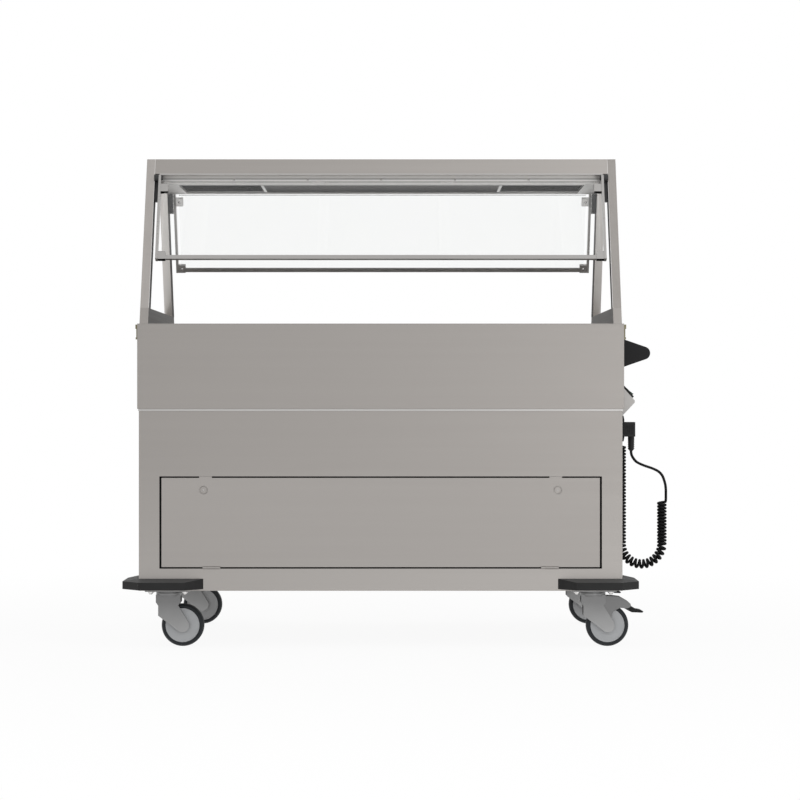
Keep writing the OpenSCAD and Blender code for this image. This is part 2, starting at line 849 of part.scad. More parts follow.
// The moulded pad that a foot presses, over the arm's end
module brake_pad(y) {
    far = pedal_reach;
    top = 2 * wheel_r;
    color(black) on_body() translate([swivel_x, y * swivel_y, 0])
        upright(-pedal_w / 2, pedal_w / 2)
            polygon([[far - 28, top - 6.4], [far - 19, top - 11.8], [far - 7.4, top - 13.9],
                [far, top - 18.4], [far - 3, top - 20.8], [far - 28, top - 19.8],
                [far - 41.6, top - 12.9]]);
}

module brake_arm_fr() {
    brake_arm(-1);
}

module brake_arm_br() {
    brake_arm(1);
}

module brake_pad_fr() {
    brake_pad(-1);
}

module brake_pad_br() {
    brake_pad(1);
}

grip_x = body_x + handle_out - cheek_tip_r;
grip_end = handle_l / 2 - handle_cheek_t + 6;

module handle_cheeks() {
    color(black) on_body() both_y() difference() {
        upright(handle_l / 2 - handle_cheek_t, handle_l / 2) hull() {
            translate([body_x, handle_h - cheek_h / 2]) square([2, cheek_h]);
            translate([grip_x, handle_h]) circle(cheek_tip_r);
        }
        translate([grip_x, 0, handle_h]) rod_y(grip_r + run_gap, 0, grip_end + slip_gap);
    }
}

module handle_tube() {
    color(bright_steel) on_body() translate([grip_x, 0, handle_h]) difference() {
        rod_y(grip_r, -grip_end, grip_end);
        rod_y(grip_r - grip_wall, -grip_end - 1, grip_end + 1);
    }
}

// Things on the control box's slope: X runs down the slope and Z stands out from it
module on_slope(s, y) {
    p = on_line(s, 0);
    translate([p[0], y, p[1]]) rotate([0, slope_turn, 0]) children();
}

module each_rocker() {
    for (i = [0:3]) on_slope(rocker_s, rocker_mid(i)) children();
}

function rocker_mid(i) = control_mid + (i - 1.5) * rocker_pitch;

module control_housing() {
    tip = [body_x + control_out, control_tip];
    low = [cab_x, control_bottom];
    down = [cos(slope_turn), -sin(slope_turn)];
    back = (low - tip) / norm(low - tip);
    inward = [back[1], -back[0]];
    wall_top = control_top - box_wall / cos(slope_turn);
    half_turn = acos(-down * back) / 2;
    cut = tip_r / tan(half_turn);
    middle = tip + tip_r * (1 / sin(half_turn) - 1) * unit(back - down);
    corner = meet([body_x, wall_top], down, low + box_wall * inward, back);
    wall_low = meet(low + box_wall * inward, back, [cab_x, 0], [0, 1]);
    y0 = control_mid - control_l / 2;
    color(light_grey) on_body() difference() {
        upright(y0, y0 + control_l)
            polygon([[body_x, control_top], tip - cut * down, middle, tip + cut * back, low,
                [cab_x, cab_top], [body_x, cab_top]]);
        upright(y0 + box_wall, y0 + control_l - box_wall)
            polygon([[body_x - 5, wall_top], [body_x, wall_top], corner, wall_low,
                wall_low - [cabinet_inset + 5, 0]]);
        each_rocker() slab(-rocker_l / 2 - rocker_side, rocker_l / 2 + rocker_side,
            -rocker_w / 2, rocker_w / 2, -3 * box_wall, 1);
    }
}

module control_fascia() {
    y0 = control_mid - control_l / 2;
    color(black) on_body() difference() {
        upright(y0, y0 + control_l)
            polygon([[body_x, control_top], on_line(fascia_l, 0), on_line(fascia_l, fascia_t),
                [body_x, control_top + fascia_t / cos(slope_turn)]]);
        each_rocker() {
            slab(-rocker_l / 2 - rocker_side, rocker_l / 2 + rocker_side,
                -rocker_w / 2, rocker_w / 2, -1, fascia_t + 1);
            translate([0, 0, rocker_pivot])
                rod_y(rocker_pin_r + run_gap, -rocker_w / 2 - 1.3, rocker_w / 2 + 1.3);
        }
    }
}

// A rocker switch, tilted so that its lower end stands out
module rocker(i) {
    half = rocker_l / 2;
    flat = rocker_w / 2 - slip_gap;
    rise = fascia_t / 2 + rocker_rise;
    color(green) on_body() on_slope(rocker_s, rocker_mid(i))
        translate([0, 0, rocker_pivot]) rotate([0, -rocker_tilt, 0]) {
            upright(-flat, flat)
                polygon([[-half, rise], [0, rise - 0.7], [half, rise], [half - 1, -3], [4, -7],
                    [-4, -7], [1 - half, -3]]);
            rod_y(rocker_pin_r, -flat - 1.2, flat + 1.2);
        }
}

module rocker_1() {
    rocker(0);
}

module rocker_2() {
    rocker(1);
}

module rocker_3() {
    rocker(2);
}

module rocker_4() {
    rocker(3);
}

// A bevelled block on the cabinet's side that holds the plug while the trolley is moved
module parking_socket() {
    x1 = cab_x + socket_out;
    half = socket_h / 2;
    taper = 2;
    face = half - 10;
    color(black) on_body() difference() {
        upright(socket_mid - socket_w / 2, socket_mid + socket_w / 2)
            polygon([[cab_x, socket_z - half], [x1 - taper, socket_z - half],
                [x1, socket_z - face], [x1, socket_z + face],
                [x1 - taper, socket_z + half], [cab_x, socket_z + half]]);
        translate([0, socket_mid, plug_mid]) rod_x(nose_r + slip_gap, x1 - 12, x1 + 1);
    }
}

// The plug's nose sits in the socket; its body turns down into a tapered relief
module plug() {
    color(black) on_body() {
        translate([0, socket_mid, plug_mid])
            rod_x(nose_r, cab_x + socket_out - 12 + slip_gap, plug_x0 + 1);
        slab(plug_x0, plug_x0 + plug_out, socket_mid - plug_w / 2, socket_mid + plug_w / 2,
            plug_low, plug_low + plug_h);
        translate([relief_x, socket_mid, relief_low]) rotate_extrude()
            polygon([[0, 0], [4.2, 0], [relief_r - 0.8, 3.5], [relief_r, relief_h - 4],
                [relief_r, relief_h + 1], [0, relief_h + 1]]);
    }
}

// An elbow gland, from the cabinet's side and down
module cable_gland() {
    color(black) on_body() translate([0, gland_y, gland_z]) {
        rod_x(gland_r, cab_x, cab_x + 4);
        rod_x(gland_r - 5, cab_x + 4, cab_x + 11);
        rod_x(9, cab_x + 11, curl_x);
        translate([curl_x, 0, 0]) sphere(9);
        translate([curl_x, 0, gland_low - gland_z]) rotate_extrude()
            polygon([[0, 0], [5.5, 0], [8, 6], [8, gland_z - gland_low], [0, gland_z - gland_low]]);
    }
}

// The curly cord hangs as a J: a long leg, a half circle and a short leg, wound round its middle.
// Its ends leave the winding in a quarter turn and run straight, one down from the gland, one up.
curl_ring = 45;
exit_r = 10;
leg_down = curl_top - bend_h;
leg_up = curl_end - bend_h;
angle_1 = 360 * curls_down;
angle_2 = angle_1 + 360 * curls_bend;
angle_3 = angle_2 + 360 * curls_up;
fall = atan(leg_down / curls_down / (2 * PI * curl_r));
rise = atan(leg_up / curls_up / (2 * PI * curl_r));
fall_off = exit_r * (1 - sin(fall));
rise_off = exit_r * (1 - sin(rise));
angle_0 = -atan(curl_r / fall_off);
stub_off = norm([curl_r, fall_off]);

// The middle of the winding at a turn angle, and the direction out of the bend there
function curl_mid(a) = a < angle_1
    ? [curl_x, curl_y, curl_top - leg_down * (a - angle_0) / (angle_1 - angle_0)]
    : a < angle_2
        ? let (b = 180 * (a - angle_1) / (angle_2 - angle_1))
            [curl_x + bend_r * (1 - cos(b)), curl_y, bend_h - bend_r * sin(b)]
        : [curl_x + 2 * bend_r, curl_y, bend_h + leg_up * (a - angle_2) / (angle_3 - angle_2)];
function curl_out(a) = let (b = a < angle_1 ? 0 : a < angle_2
    ? 180 * (a - angle_1) / (angle_2 - angle_1) : 180) [-cos(b), 0, -sin(b)];
function curl_arm(a) = cos(a) * curl_out(a) - sin(a) * [0, 1, 0];
function curl_point(a) = curl_mid(a) + curl_r * curl_arm(a);

// A quarter turn from a point on the winding, away along d, up by the sine of each angle
function exit_point(p, d, start, b) = p - exit_r * ((sin(b) - sin(start)) * d
    + [0, 0, cos(b) - cos(start)]);

first_point = curl_point(angle_0);
first_way = [sin(angle_0), -cos(angle_0), 0];
last_point = curl_point(angle_3);
last_way = [0, 1, 0];
gland_y = curl_y + stub_off;
lead_start = exit_point(last_point, last_way, rise, 90) + [0, 0, 2 * cord_d];
function turn_angles() = concat([angle_0], [for (a = [0:curl_ring:angle_3]) a]);
curl_path = concat(
    [[curl_x, gland_y, gland_low]],
    [for (b = [90, 60, 30]) exit_point(first_point, first_way, fall, b)],
    [for (a = turn_angles()) curl_point(a)],
    [for (b = [30, 60, 90]) exit_point(last_point, last_way, rise, b)],
    [lead_start]);
curl_arms = concat(
    [for (i = [0:3]) curl_arm(angle_0)],
    [for (a = turn_angles()) curl_arm(a)],
    [for (i = [0:3]) curl_arm(angle_3)]);

// A tube swept along points; each ring is square to the way there and starts at its arm
function unit(v) = v / norm(v);
function way_at(path, i) = let (n = len(path))
    i == 0 ? unit(path[1] - path[0])
        : i == n - 1 ? unit(path[n - 1] - path[n - 2]) : unit(path[i + 1] - path[i - 1]);
module tube(path, arms, r, sides) {
    n = len(path);
    rings = [for (i = [0:n - 1]) let (
        t = way_at(path, i),
        u = unit(arms[i] - (arms[i] * t) * t),
        v = cross(t, u))
        for (k = [0:sides - 1]) path[i] + r * (cos(360 * k / sides) * u + sin(360 * k / sides) * v)];
    walls = [for (i = [0:n - 2], k = [0:sides - 1]) let (
        a = i * sides + k,
        b = i * sides + (k + 1) % sides)
        each [[a, b, b + sides], [a, b + sides, a + sides]]];
    first_end = [for (k = [1:sides - 2]) [0, k + 1, k]];
    last_end = [for (k = [1:sides - 2]) [0, k, k + 1] + (n - 1) * sides * [1, 1, 1]];
    polyhedron(rings, concat(walls, first_end, last_end), convexity = 20);
}

// The least room between the cord and its own next curl, from point to point
function own_gap(path, skip) = min([for (i = [0:len(path) - 1 - skip], j = [i + skip:len(path) - 1])
    norm(path[i] - path[j])]) - cord_d;

module curly_cord() {
    echo(least_gap_of_the_cord_to_itself = own_gap(curl_path, 4));
    color(black) on_body() tube(curl_path, curl_arms, cord_d / 2, 6);
}

// The plain lead from the last curl up to the plug, in long easy bends. Both its ends run straight
// first, so that it meets the last curl and the plug's relief squarely.
lead_route = [
    [lead_start[0], lead_start[1], lead_start[2]],
    [lead_start[0], lead_start[1], lead_start[2] + cord_d],
    [curl_x + 106.4, -122, 375],
    [curl_x + 103, -125, 387],
    [curl_x + 98.5, -128, 397.5],
    [curl_x + 92.5, -131.5, 405],
    [curl_x + 84, -136, 411],
    [curl_x + 71, -143, 416.8],
    [curl_x + 56, -151.5, 421.8],
    [curl_x + 42.5, -160, 427],
    [curl_x + 31, -167.5, 433],
    [curl_x + 24.3, -172, 440],
    [curl_x + 19.3, -174.4, 448],
    [relief_x, socket_mid, relief_low - 4.5],
    [relief_x, socket_mid, relief_low]];

module cord_lead() {
    color(black) on_body()
        tube(lead_route, [for (p = lead_route) [0, 1, 0]], cord_d / 2, 8);
}

// Box tubes: the base rails on the worktop and the upper rails between the legs' tops
module rail(z0, z1, back) {
    wall = tube_wall;
    y0 = leg_front(z0) + back;
    y1 = leg_front(z1) + back;
    difference() {
        lengthways(frame_x0, frame_x1) polygon([[y0, z0], [y1, z1], [-y1, z1], [-y0, z0]]);
        lengthways(frame_x0 + wall, frame_x1 - wall)
            polygon([[y0 + wall, z0 - 1], [y1 + wall, z1 - wall], [-y1 - wall, z1 - wall],
                [-y0 - wall, z0 - 1]]);
    }
}

module side_rails() {
    color(steel) on_body() both_x() {
        rail(work_h, rail_top, 0);
        rail(canopy_h - top_rail_h, canopy_h, leg_d);
    }
}

// Four leaning legs, open at the foot and capped at the top
module canopy_legs() {
    y0 = leg_front(rail_top);
    y1 = leg_front(canopy_h);
    wall = tube_wall;
    color(steel) on_body() both_x() both_y() difference() {
        lengthways(frame_x0, frame_x1)
            polygon([[y0, rail_top], [y1, canopy_h], [y1 + leg_d, canopy_h], [y0 + leg_d, rail_top]]);
        lengthways(frame_x0 + wall, frame_x1 - wall)
            polygon([[y0 + wall - lean, rail_top - 1], [y1 + wall - lean * wall, canopy_h - wall],
                [y1 + leg_d - wall - lean * wall, canopy_h - wall],
                [y0 + leg_d - wall - lean, rail_top - 1]]);
    }
}

// The canopy's sheet: a top, two leaning aprons and a narrow flange below each
module canopy_shell() {
    low = leg_front(apron_z);
    high = leg_front(canopy_h);
    half = tray_d / 2;
    flange_z = apron_z + sheet;
    outer = [[-half, flange_z], [-half, apron_z], [low, apron_z], [high, canopy_h]];
    inner = [[high + sheet, canopy_h - sheet], [low + sheet, flange_z]];
    outline = concat(outer, [for (i = [3:-1:0]) [-outer[i][0], outer[i][1]]],
        [for (i = [1:-1:0]) [-inner[i][0], inner[i][1]]], inner);
    color(steel) on_body() lengthways(-frame_x0, frame_x0) polygon(outline);
}

// A shallow tray with a window; its flanges turn up round the window
module lamp_tray() {
    half = tray_d / 2;
    color(steel) on_body() difference() {
        union() {
            difference() {
                slab(-frame_x0, frame_x0, -half, half, tray_z, apron_z + sheet);
                slab(-frame_x0 + sheet, frame_x0 - sheet, -half + sheet, half - sheet,
                    tray_z + sheet, apron_z + sheet + 1);
            }
            slab(-open_x - sheet, open_x + sheet, -open_y - sheet, open_y + sheet,
                tray_z, tray_z + tray_lip);
        }
        slab(-open_x, open_x, -open_y, open_y, tray_z - 1, tray_z + tray_lip + 1);
    }
}

// The dark pan over the window with the long lamp housing under it
module lamp_unit() {
    pan_z = tray_z + tray_lip;
    low = tray_z + 1;
    color(smoke) on_body() {
        slab(-open_x - 8, open_x + 8, -open_y - 8, open_y + 8, pan_z, pan_z + sheet);
        lengthways(-lamp_l / 2, lamp_l / 2)
            polygon([[-lamp_d / 2, pan_z + 1], [-lamp_d / 2 + 8, low], [lamp_d / 2 - 8, low],
                [lamp_d / 2, pan_z + 1]]);
    }
}

// Black plates inside the legs; a lug at the top of each carries the pin that a flap turns on
module hinge_plates() {
    x0 = hinge_plate_x;
    top = hinge_plate_top;
    low = top - hinge_plate_h;
    y0 = leg_front(low) + hinge_plate_in;
    y1 = leg_front(top) + hinge_plate_in;
    lug = flap_pin_r + 4;
    color(black) on_body() both_x() both_y() {
        lengthways(x0, frame_x0)
            polygon([[y0, low], [y1, top], [y1 + hinge_plate_d, top], [y0 + hinge_plate_d, low]]);
        slab(x0, frame_x0, pivot_y, y1 + 6, pivot_h - lug, pivot_h + lug);
        translate([0, pivot_y, pivot_h]) {
            rod_x(lug, x0, frame_x0);
            rod_x(flap_pin_r, arm_x0 - slip_gap - 2, x0 + 1);
            rod_x(flap_pin_r + 2, arm_x0 - slip_gap - 2, arm_x0 - slip_gap);
        }
        for (i = [0:3]) {
            z = top - 22 - 11 * i;
            translate([0, leg_front(z) + hinge_plate_in + hinge_plate_d - 6, z]) rod_x(3, x0 - 2, x0 + 1);
        }
    }
}

// Clamp screws on the narrow sides that hold the worktop down
module worktop_clamps() {
    y = body_y - clamp_in;
    side = clamp_w / 2;
    low = work_h - clamp_l;
    color(yellow_zinc) on_body() both_x() both_y() {
        slab(body_x, body_x + clamp_w - 1, y - side, y + side, work_h - clamp_w - 1, work_h - 1);
        translate([body_x + side, y, 0]) {
            translate([0, 0, low + 2]) cylinder(r = clamp_r, h = clamp_l - clamp_w - 2);
            translate([0, 0, low]) cylinder(r = clamp_r + 1.5, h = 2 * clamp_r);
        }
    }
}

// A flap hangs from its pins: Z runs up along it and -Y is its outer face
module on_flap() {
    on_body() translate([0, pivot_y, pivot_h]) rotate([-flap_lean, 0, 0]) children();
}

module flap_frame() {
    eye = arm_w / 2;
    slot = glass_t / 2 + 0.1;
    color(bright_steel) on_flap() difference() {
        union() {
            both_x() {
                rod_x(eye, arm_x0, arm_x1);
                slab(arm_x0, arm_x1, -eye, eye, -arm_l, 0);
                for (low = [-clamp_drop - clamp_h, -arm_l])
                    slab(glass_x - clamp_reach, arm_x0, -clamp_t / 2, clamp_t / 2, low, low + clamp_h);
            }
            slab(-glass_x, glass_x, -bar_t / 2, bar_t / 2, -bar_mid - bar_w / 2, -bar_mid + bar_w / 2);
        }
        slab(-glass_x - 0.5, glass_x + 0.5, -slot, slot, -bar_mid - 0.5, 0);
        both_x() rod_x(flap_pin_r + run_gap, arm_x0 - 1, arm_x1 + 1);
    }
}

module flap_glass() {
    color(clear) on_flap()
        slab(-glass_x, glass_x, -glass_t / 2, glass_t / 2, -bar_mid, -12);
}

module front_flap_frame() {
    flap_frame();
}

module front_flap_glass() {
    flap_glass();
}

module back_flap_frame() {
    mirror([0, 1, 0]) flap_frame();
}

module back_flap_glass() {
    mirror([0, 1, 0]) flap_glass();
}

base_plate();
frame_posts();
cabinet_front();
cabinet_back();
cabinet_side_left();
cabinet_side_right();
upper_casing();
worktop();
well_left();
well_middle();
well_right();
well_heaters();
drain_pipe();
service_panel();
panel_hinges();
panel_lock_left();
panel_lock_right();
corner_bumpers();
castor_plates();
castor_bolts();
castor_fork_fl();
castor_fork_fr();
castor_fork_bl();
castor_fork_br();
castor_wheel_fl();
castor_wheel_fr();
castor_wheel_bl();
castor_wheel_br();
castor_tyre_fl();
castor_tyre_fr();
castor_tyre_bl();
castor_tyre_br();
brake_arm_fr();
brake_arm_br();
brake_pad_fr();
brake_pad_br();
handle_cheeks();
handle_tube();
control_housing();
control_fascia();
rocker_1();
rocker_2();
rocker_3();
rocker_4();
parking_socket();
plug();
cable_gland();
curly_cord();
cord_lead();
side_rails();
canopy_legs();
canopy_shell();
lamp_tray();
lamp_unit();
hinge_plates();
worktop_clamps();
front_flap_frame();
front_flap_glass();
back_flap_frame();
back_flap_glass();
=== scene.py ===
# %% [markdown]
# A heated buffet trolley of brushed stainless steel, seen from the guests' side. The hard pieces come
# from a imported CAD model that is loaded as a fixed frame. This file adds the finishes, the curly cord
# and the small trim, one step at a time. Lengths are in metres.

# %% Load the frame
import math
import bmesh
import bpy
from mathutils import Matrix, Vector


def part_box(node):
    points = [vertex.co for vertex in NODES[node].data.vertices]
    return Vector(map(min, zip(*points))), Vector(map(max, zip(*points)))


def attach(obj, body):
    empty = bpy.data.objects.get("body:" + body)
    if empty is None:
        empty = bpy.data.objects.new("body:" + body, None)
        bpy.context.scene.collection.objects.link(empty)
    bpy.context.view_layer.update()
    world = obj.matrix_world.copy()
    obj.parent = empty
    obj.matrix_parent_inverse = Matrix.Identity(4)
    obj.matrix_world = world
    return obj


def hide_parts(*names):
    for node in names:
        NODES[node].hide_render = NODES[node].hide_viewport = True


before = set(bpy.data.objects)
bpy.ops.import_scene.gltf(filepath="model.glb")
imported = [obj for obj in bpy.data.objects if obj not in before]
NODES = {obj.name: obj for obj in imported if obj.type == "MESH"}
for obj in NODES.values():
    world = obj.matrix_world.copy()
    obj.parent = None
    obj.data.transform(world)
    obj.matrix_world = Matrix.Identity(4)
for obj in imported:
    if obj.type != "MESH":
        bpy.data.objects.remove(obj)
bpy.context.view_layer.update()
worktop_low, worktop_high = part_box("worktop")
MIDDLE = (worktop_low[0] + worktop_high[0]) / 2
print(f"the body's middle lies at x = {MIDDLE:.5f}, and its worktop is {worktop_high[2]:.3f} high")

# %% [markdown]
# The camera stands 5.15 m in front of the casing, a little right of the middle, and looks level. Its
# place and lens were worked out from the photograph's vanishing lines. A long lens at a distance keeps
# the trolley nearly free of perspective, as a catalogue picture wants it.

# %% The camera
CAMERA_X = 0.0453
CAMERA_Y = -5.475
CAMERA_Z = 0.582
LENS = 99.0

camera = bpy.data.objects.new("camera", bpy.data.cameras.new("camera"))
bpy.context.scene.collection.objects.link(camera)
bpy.context.scene.camera = camera
camera.location = (MIDDLE + CAMERA_X, CAMERA_Y, CAMERA_Z)
camera.rotation_euler = (math.radians(90), 0, 0)
camera.data.sensor_width = 36
camera.data.lens = LENS
camera.data.clip_end = 60
print(f"the camera stands at {camera.location.x:.4f}, {CAMERA_Y}, {CAMERA_Z} with a {LENS} mm lens")

# %% [markdown]
# The mains cord is one length of rubber cord, wound into curls for most of the way. It leaves its gland
# straight down, winds down a long leg, round a half circle and up a short leg, and goes on as a plain
# lead to the plug. A formula gives the curls, because they repeat; the lead's few points are listed and
# smoothed. A single open curve with a round bevel keeps it one unbroken tube. Each point's own
# radius sets the thickness, because Blender adds it to the curve's bounding box.

# %% The cord's sizes, as on the CAD cord
CORD_D = 0.0065
CURL_R = 0.00875
CURL_X = MIDDLE + 0.5846
CURL_Y = -0.112
LEG_TOP = 0.471
LEG_END = 0.334
BEND_Z = 0.232
BEND_R = 0.0495
TURNS = (30, 14, 13)
STEPS_PER_TURN = 20
EXIT_R = 0.010
GLAND_Z = 0.490

FULL = 2 * math.pi
turn_1 = TURNS[0] * FULL
turn_2 = turn_1 + TURNS[1] * FULL
turn_3 = turn_2 + TURNS[2] * FULL
fall = math.atan((LEG_TOP - BEND_Z) / TURNS[0] / (FULL * CURL_R))
rise = math.atan((LEG_END - BEND_Z) / TURNS[2] / (FULL * CURL_R))
fall_off = EXIT_R * (1 - math.sin(fall))
turn_0 = -math.atan(CURL_R / fall_off)


def curl_point(turn):
    """A point on the winding: its middle, plus an arm that turns round it."""
    if turn < turn_1:
        bend = 0
        drop = (LEG_TOP - BEND_Z) * (turn - turn_0) / (turn_1 - turn_0)
        middle = Vector((CURL_X, CURL_Y, LEG_TOP - drop))
    elif turn < turn_2:
        bend = math.pi * (turn - turn_1) / (turn_2 - turn_1)
        middle = Vector((CURL_X + BEND_R * (1 - math.cos(bend)), CURL_Y,
                         BEND_Z - BEND_R * math.sin(bend)))
    else:
        bend = math.pi
        climb = (LEG_END - BEND_Z) * (turn - turn_2) / (turn_3 - turn_2)
        middle = Vector((CURL_X + 2 * BEND_R, CURL_Y, BEND_Z + climb))
    out = Vector((-math.cos(bend), 0, -math.sin(bend)))
    return middle + CURL_R * (math.cos(turn) * out - math.sin(turn) * Vector((0, 1, 0)))


def exit_point(start, way, slope, angle):
    """A quarter turn from the winding into a straight end, as far round as the angle."""
    across = EXIT_R * (math.sin(angle) - math.sin(slope))
    up = EXIT_R * (math.cos(angle) - math.cos(slope))
    return start - Vector(way) * across - Vector((0, 0, up))


def smooth(points, steps):
    """Points on a soft curve through the given ones."""
    found = []
    ends = [points[0] * 2 - points[1], *points, points[-1] * 2 - points[-2]]
    for a, b, c, d in zip(ends, ends[1:], ends[2:], ends[3:]):
        for step in range(steps):
            t = step / steps
            found.append(0.5 * (2 * b + (c - a) * t + (2 * a - 5 * b + 4 * c - d) * t ** 2
                                + (3 * b - a - 3 * c + d) * t ** 3))
    return found + [points[-1]]


# %% The cord's route, from the gland to the plug
first = curl_point(turn_0)
first_way = (math.sin(turn_0), -math.cos(turn_0), 0)
last = curl_point(turn_3)
quarter = [math.radians(a) for a in range(15, 91, 15)]
down = [exit_point(first, first_way, fall, a) for a in reversed(quarter)]
up = [exit_point(last, (0, 1, 0), rise, a) for a in quarter]
gland = Vector((CURL_X, down[0].y, GLAND_Z))
steps = int((turn_3 - turn_0) / FULL * STEPS_PER_TURN)
curls = [curl_point(turn_0 + (turn_3 - turn_0) * i / steps) for i in range(steps + 1)]

# Off the long leg's middle along X, in depth and in height; the last one is the plug's relief
LEAD = ((0.1064, -0.122, 0.375), (0.103, -0.125, 0.387), (0.0985, -0.128, 0.3975),
        (0.0925, -0.1315, 0.405), (0.084, -0.136, 0.411), (0.071, -0.143, 0.4168),
        (0.056, -0.1515, 0.4218), (0.0425, -0.160, 0.427), (0.031, -0.1675, 0.433),
        (0.0243, -0.172, 0.440), (0.0193, -0.1744, 0.448), (0.0174, -0.175, 0.4555),
        (0.0174, -0.175, 0.460))
LEAD_STEPS = 5
lead = [Vector((CURL_X + x, y, z)) for x, y, z in LEAD]
lead_start = up[-1] + Vector((0, 0, 2 * CORD_D))
straight_up = lead_start + Vector((0, 0, CORD_D))
route = [gland, *down, *curls, *up, lead_start, *smooth([straight_up, *lead], LEAD_STEPS)]
cord_length = sum((b - a).length for a, b in zip(route, route[1:]))
print(f"the route has {len(route)} points")

# %% The cord itself
spline_data = bpy.data.curves.new("curly_mains_cord", "CURVE")
spline_data.dimensions = "3D"
spline_data.bevel_depth = 1.0
spline_data.bevel_resolution = 3
spline_data.use_fill_caps = True
spline = spline_data.splines.new("POLY")
spline.points.add(len(route) - 1)
for knot, point in zip(spline.points, route):
    knot.co = (*point, 1)
    knot.radius = CORD_D / 2
cord = bpy.data.objects.new("curly_mains_cord", spline_data)
bpy.context.scene.collection.objects.link(cord)
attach(cord, "root")
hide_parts("curly_cord", "cord_lead")
print(f"the cord is {cord_length:.2f} m long with {sum(TURNS)} curls")

# %% [markdown]
# Finishes are built from nodes, and most of that is arithmetic on masks. To write it as plain Python,
# a small class wraps a node's output, and the operators on it add Math nodes.

# %% A class for shader maths
class Wire:
    """A number that flows between nodes; operators on it add Math nodes."""

    def __init__(self, finish, socket):
        self.finish = finish
        self.socket = socket

    def math(self, operation, *values):
        sockets = dict(enumerate((self, *values)))
        return self.finish.node("ShaderNodeMath", {"operation": operation}, sockets)

    def held(self):
        """The number, held between 0 and 1."""
        return self.math("MAXIMUM", 0.0).math("MINIMUM", 1.0)

    def __add__(self, other):
        return self.math("ADD", other)

    def __sub__(self, other):
        return self.math("SUBTRACT", other)

    def __rsub__(self, other):
        return self.finish.node("ShaderNodeMath", {"operation": "SUBTRACT"}, {0: other, 1: self})

    def __mul__(self, other):
        return self.math("MULTIPLY", other)

    def __pow__(self, other):
        return self.math("POWER", other)

    __radd__ = __add__
    __rmul__ = __mul__


# %% [markdown]
# A second class holds one material while it is built. Every node in it comes from one method, which
# takes the node's type, its settings and the values of its sockets. The other methods are what the
# finishes here are made of: a place on the piece, a noise, a mix of colours, a fine relief.

# %% A class for finishes
class Finish:
    """A material under construction."""

    def __init__(self, name):
        self.material = bpy.data.materials.new(name)
        self.material.use_nodes = True
        self.tree = self.material.node_tree
        self.tree.nodes.clear()

    def node(self, kind, settings=None, sockets=None, output=0):
        made = self.tree.nodes.new(kind)
        for key, value in (settings or {}).items():
            if key == "stops":
                ramp = made.color_ramp
                while len(ramp.elements) < len(value):
                    ramp.elements.new(0.5)
                for element, (place, colour) in zip(ramp.elements, value):
                    element.position = place
                    element.color = colour
            else:
                setattr(made, key, value)
        for key, value in (sockets or {}).items():
            if isinstance(value, Wire):
                self.tree.links.new(value.socket, made.inputs[key])
            else:
                made.inputs[key].default_value = value
        return Wire(self, made.outputs[output])

    def place(self, stretch=(1, 1, 1)):
        """The point on the object, in metres, stretched along each axis."""
        point = self.node("ShaderNodeTexCoord", output="Object")
        return self.node("ShaderNodeVectorMath", {"operation": "MULTIPLY"}, {0: point, 1: stretch})

    def along(self, axis):
        """How far the point on the object lies along X, Y or Z: 0, 1 or 2."""
        return self.node("ShaderNodeSeparateXYZ", {}, {"Vector": self.place()}, output=axis)

    def faces(self, axis):
        """How squarely the surface faces along an axis, from 1 through 0 to -1 the other way."""
        normal = self.node("ShaderNodeTexCoord", output="Normal")
        return self.node("ShaderNodeSeparateXYZ", {}, {"Vector": normal}, output=axis)

    def noise(self, scale, detail=2, stretch=(1, 1, 1)):
        sockets = {"Vector": self.place(stretch), "Scale": scale, "Detail": detail}
        return self.node("ShaderNodeTexNoise", {}, sockets)

    def mixed(self, mask, colour, other):
        """A colour that a mask turns into another; each is a link or four numbers."""
        sockets = {0: mask, 6: colour, 7: other}
        return self.node("ShaderNodeMix", {"data_type": "RGBA"}, sockets, output=2)

    def blend(self, mask, dark, light):
        """A colour between two plain ones, by a mask."""
        return self.mixed(mask, (*dark, 1), (*light, 1))

    def relief(self, height, depth, edge=0.0):
        """A bump of a real depth in metres, over edges that look rounded by a radius."""
        sockets = {"Height": height, "Strength": 1.0, "Distance": depth}
        if edge:
            sockets["Normal"] = self.node("ShaderNodeBevel", {"samples": 4}, {"Radius": edge})
        return self.node("ShaderNodeBump", {}, sockets)

    def surface(self, sockets):
        """Ends the material in one Principled shader."""
        shader = self.node("ShaderNodeBsdfPrincipled", {}, sockets)
        return self.end(shader)

    def end(self, shader):
        out = self.tree.nodes.new("ShaderNodeOutputMaterial")
        self.tree.links.new(shader.socket, out.inputs["Surface"])
        return self.material


# %% [markdown]
# Sheet steel is rolled and then brushed along the sheet, so its grain is very long and very thin. A
# noise that is stretched along one axis gives that grain. It barely changes the colour; it changes the
# roughness and a bump of some hundredths of a millimetre, which is where the soft sheen comes from.

# %% Brushed stainless steel
# Two painted tones: the pale floor's painted reflection, and near-black painted shade.
PAINTED_FLOOR_TONE = (0.92, 0.89, 0.86, 1)
PAINTED_SHADE_TONE = (0.02, 0.02, 0.02, 1)
INWARD = 1.9
LOW_DOWN, LOW_FADE = 0.42, 3.8
DOWNWARD = 2.6


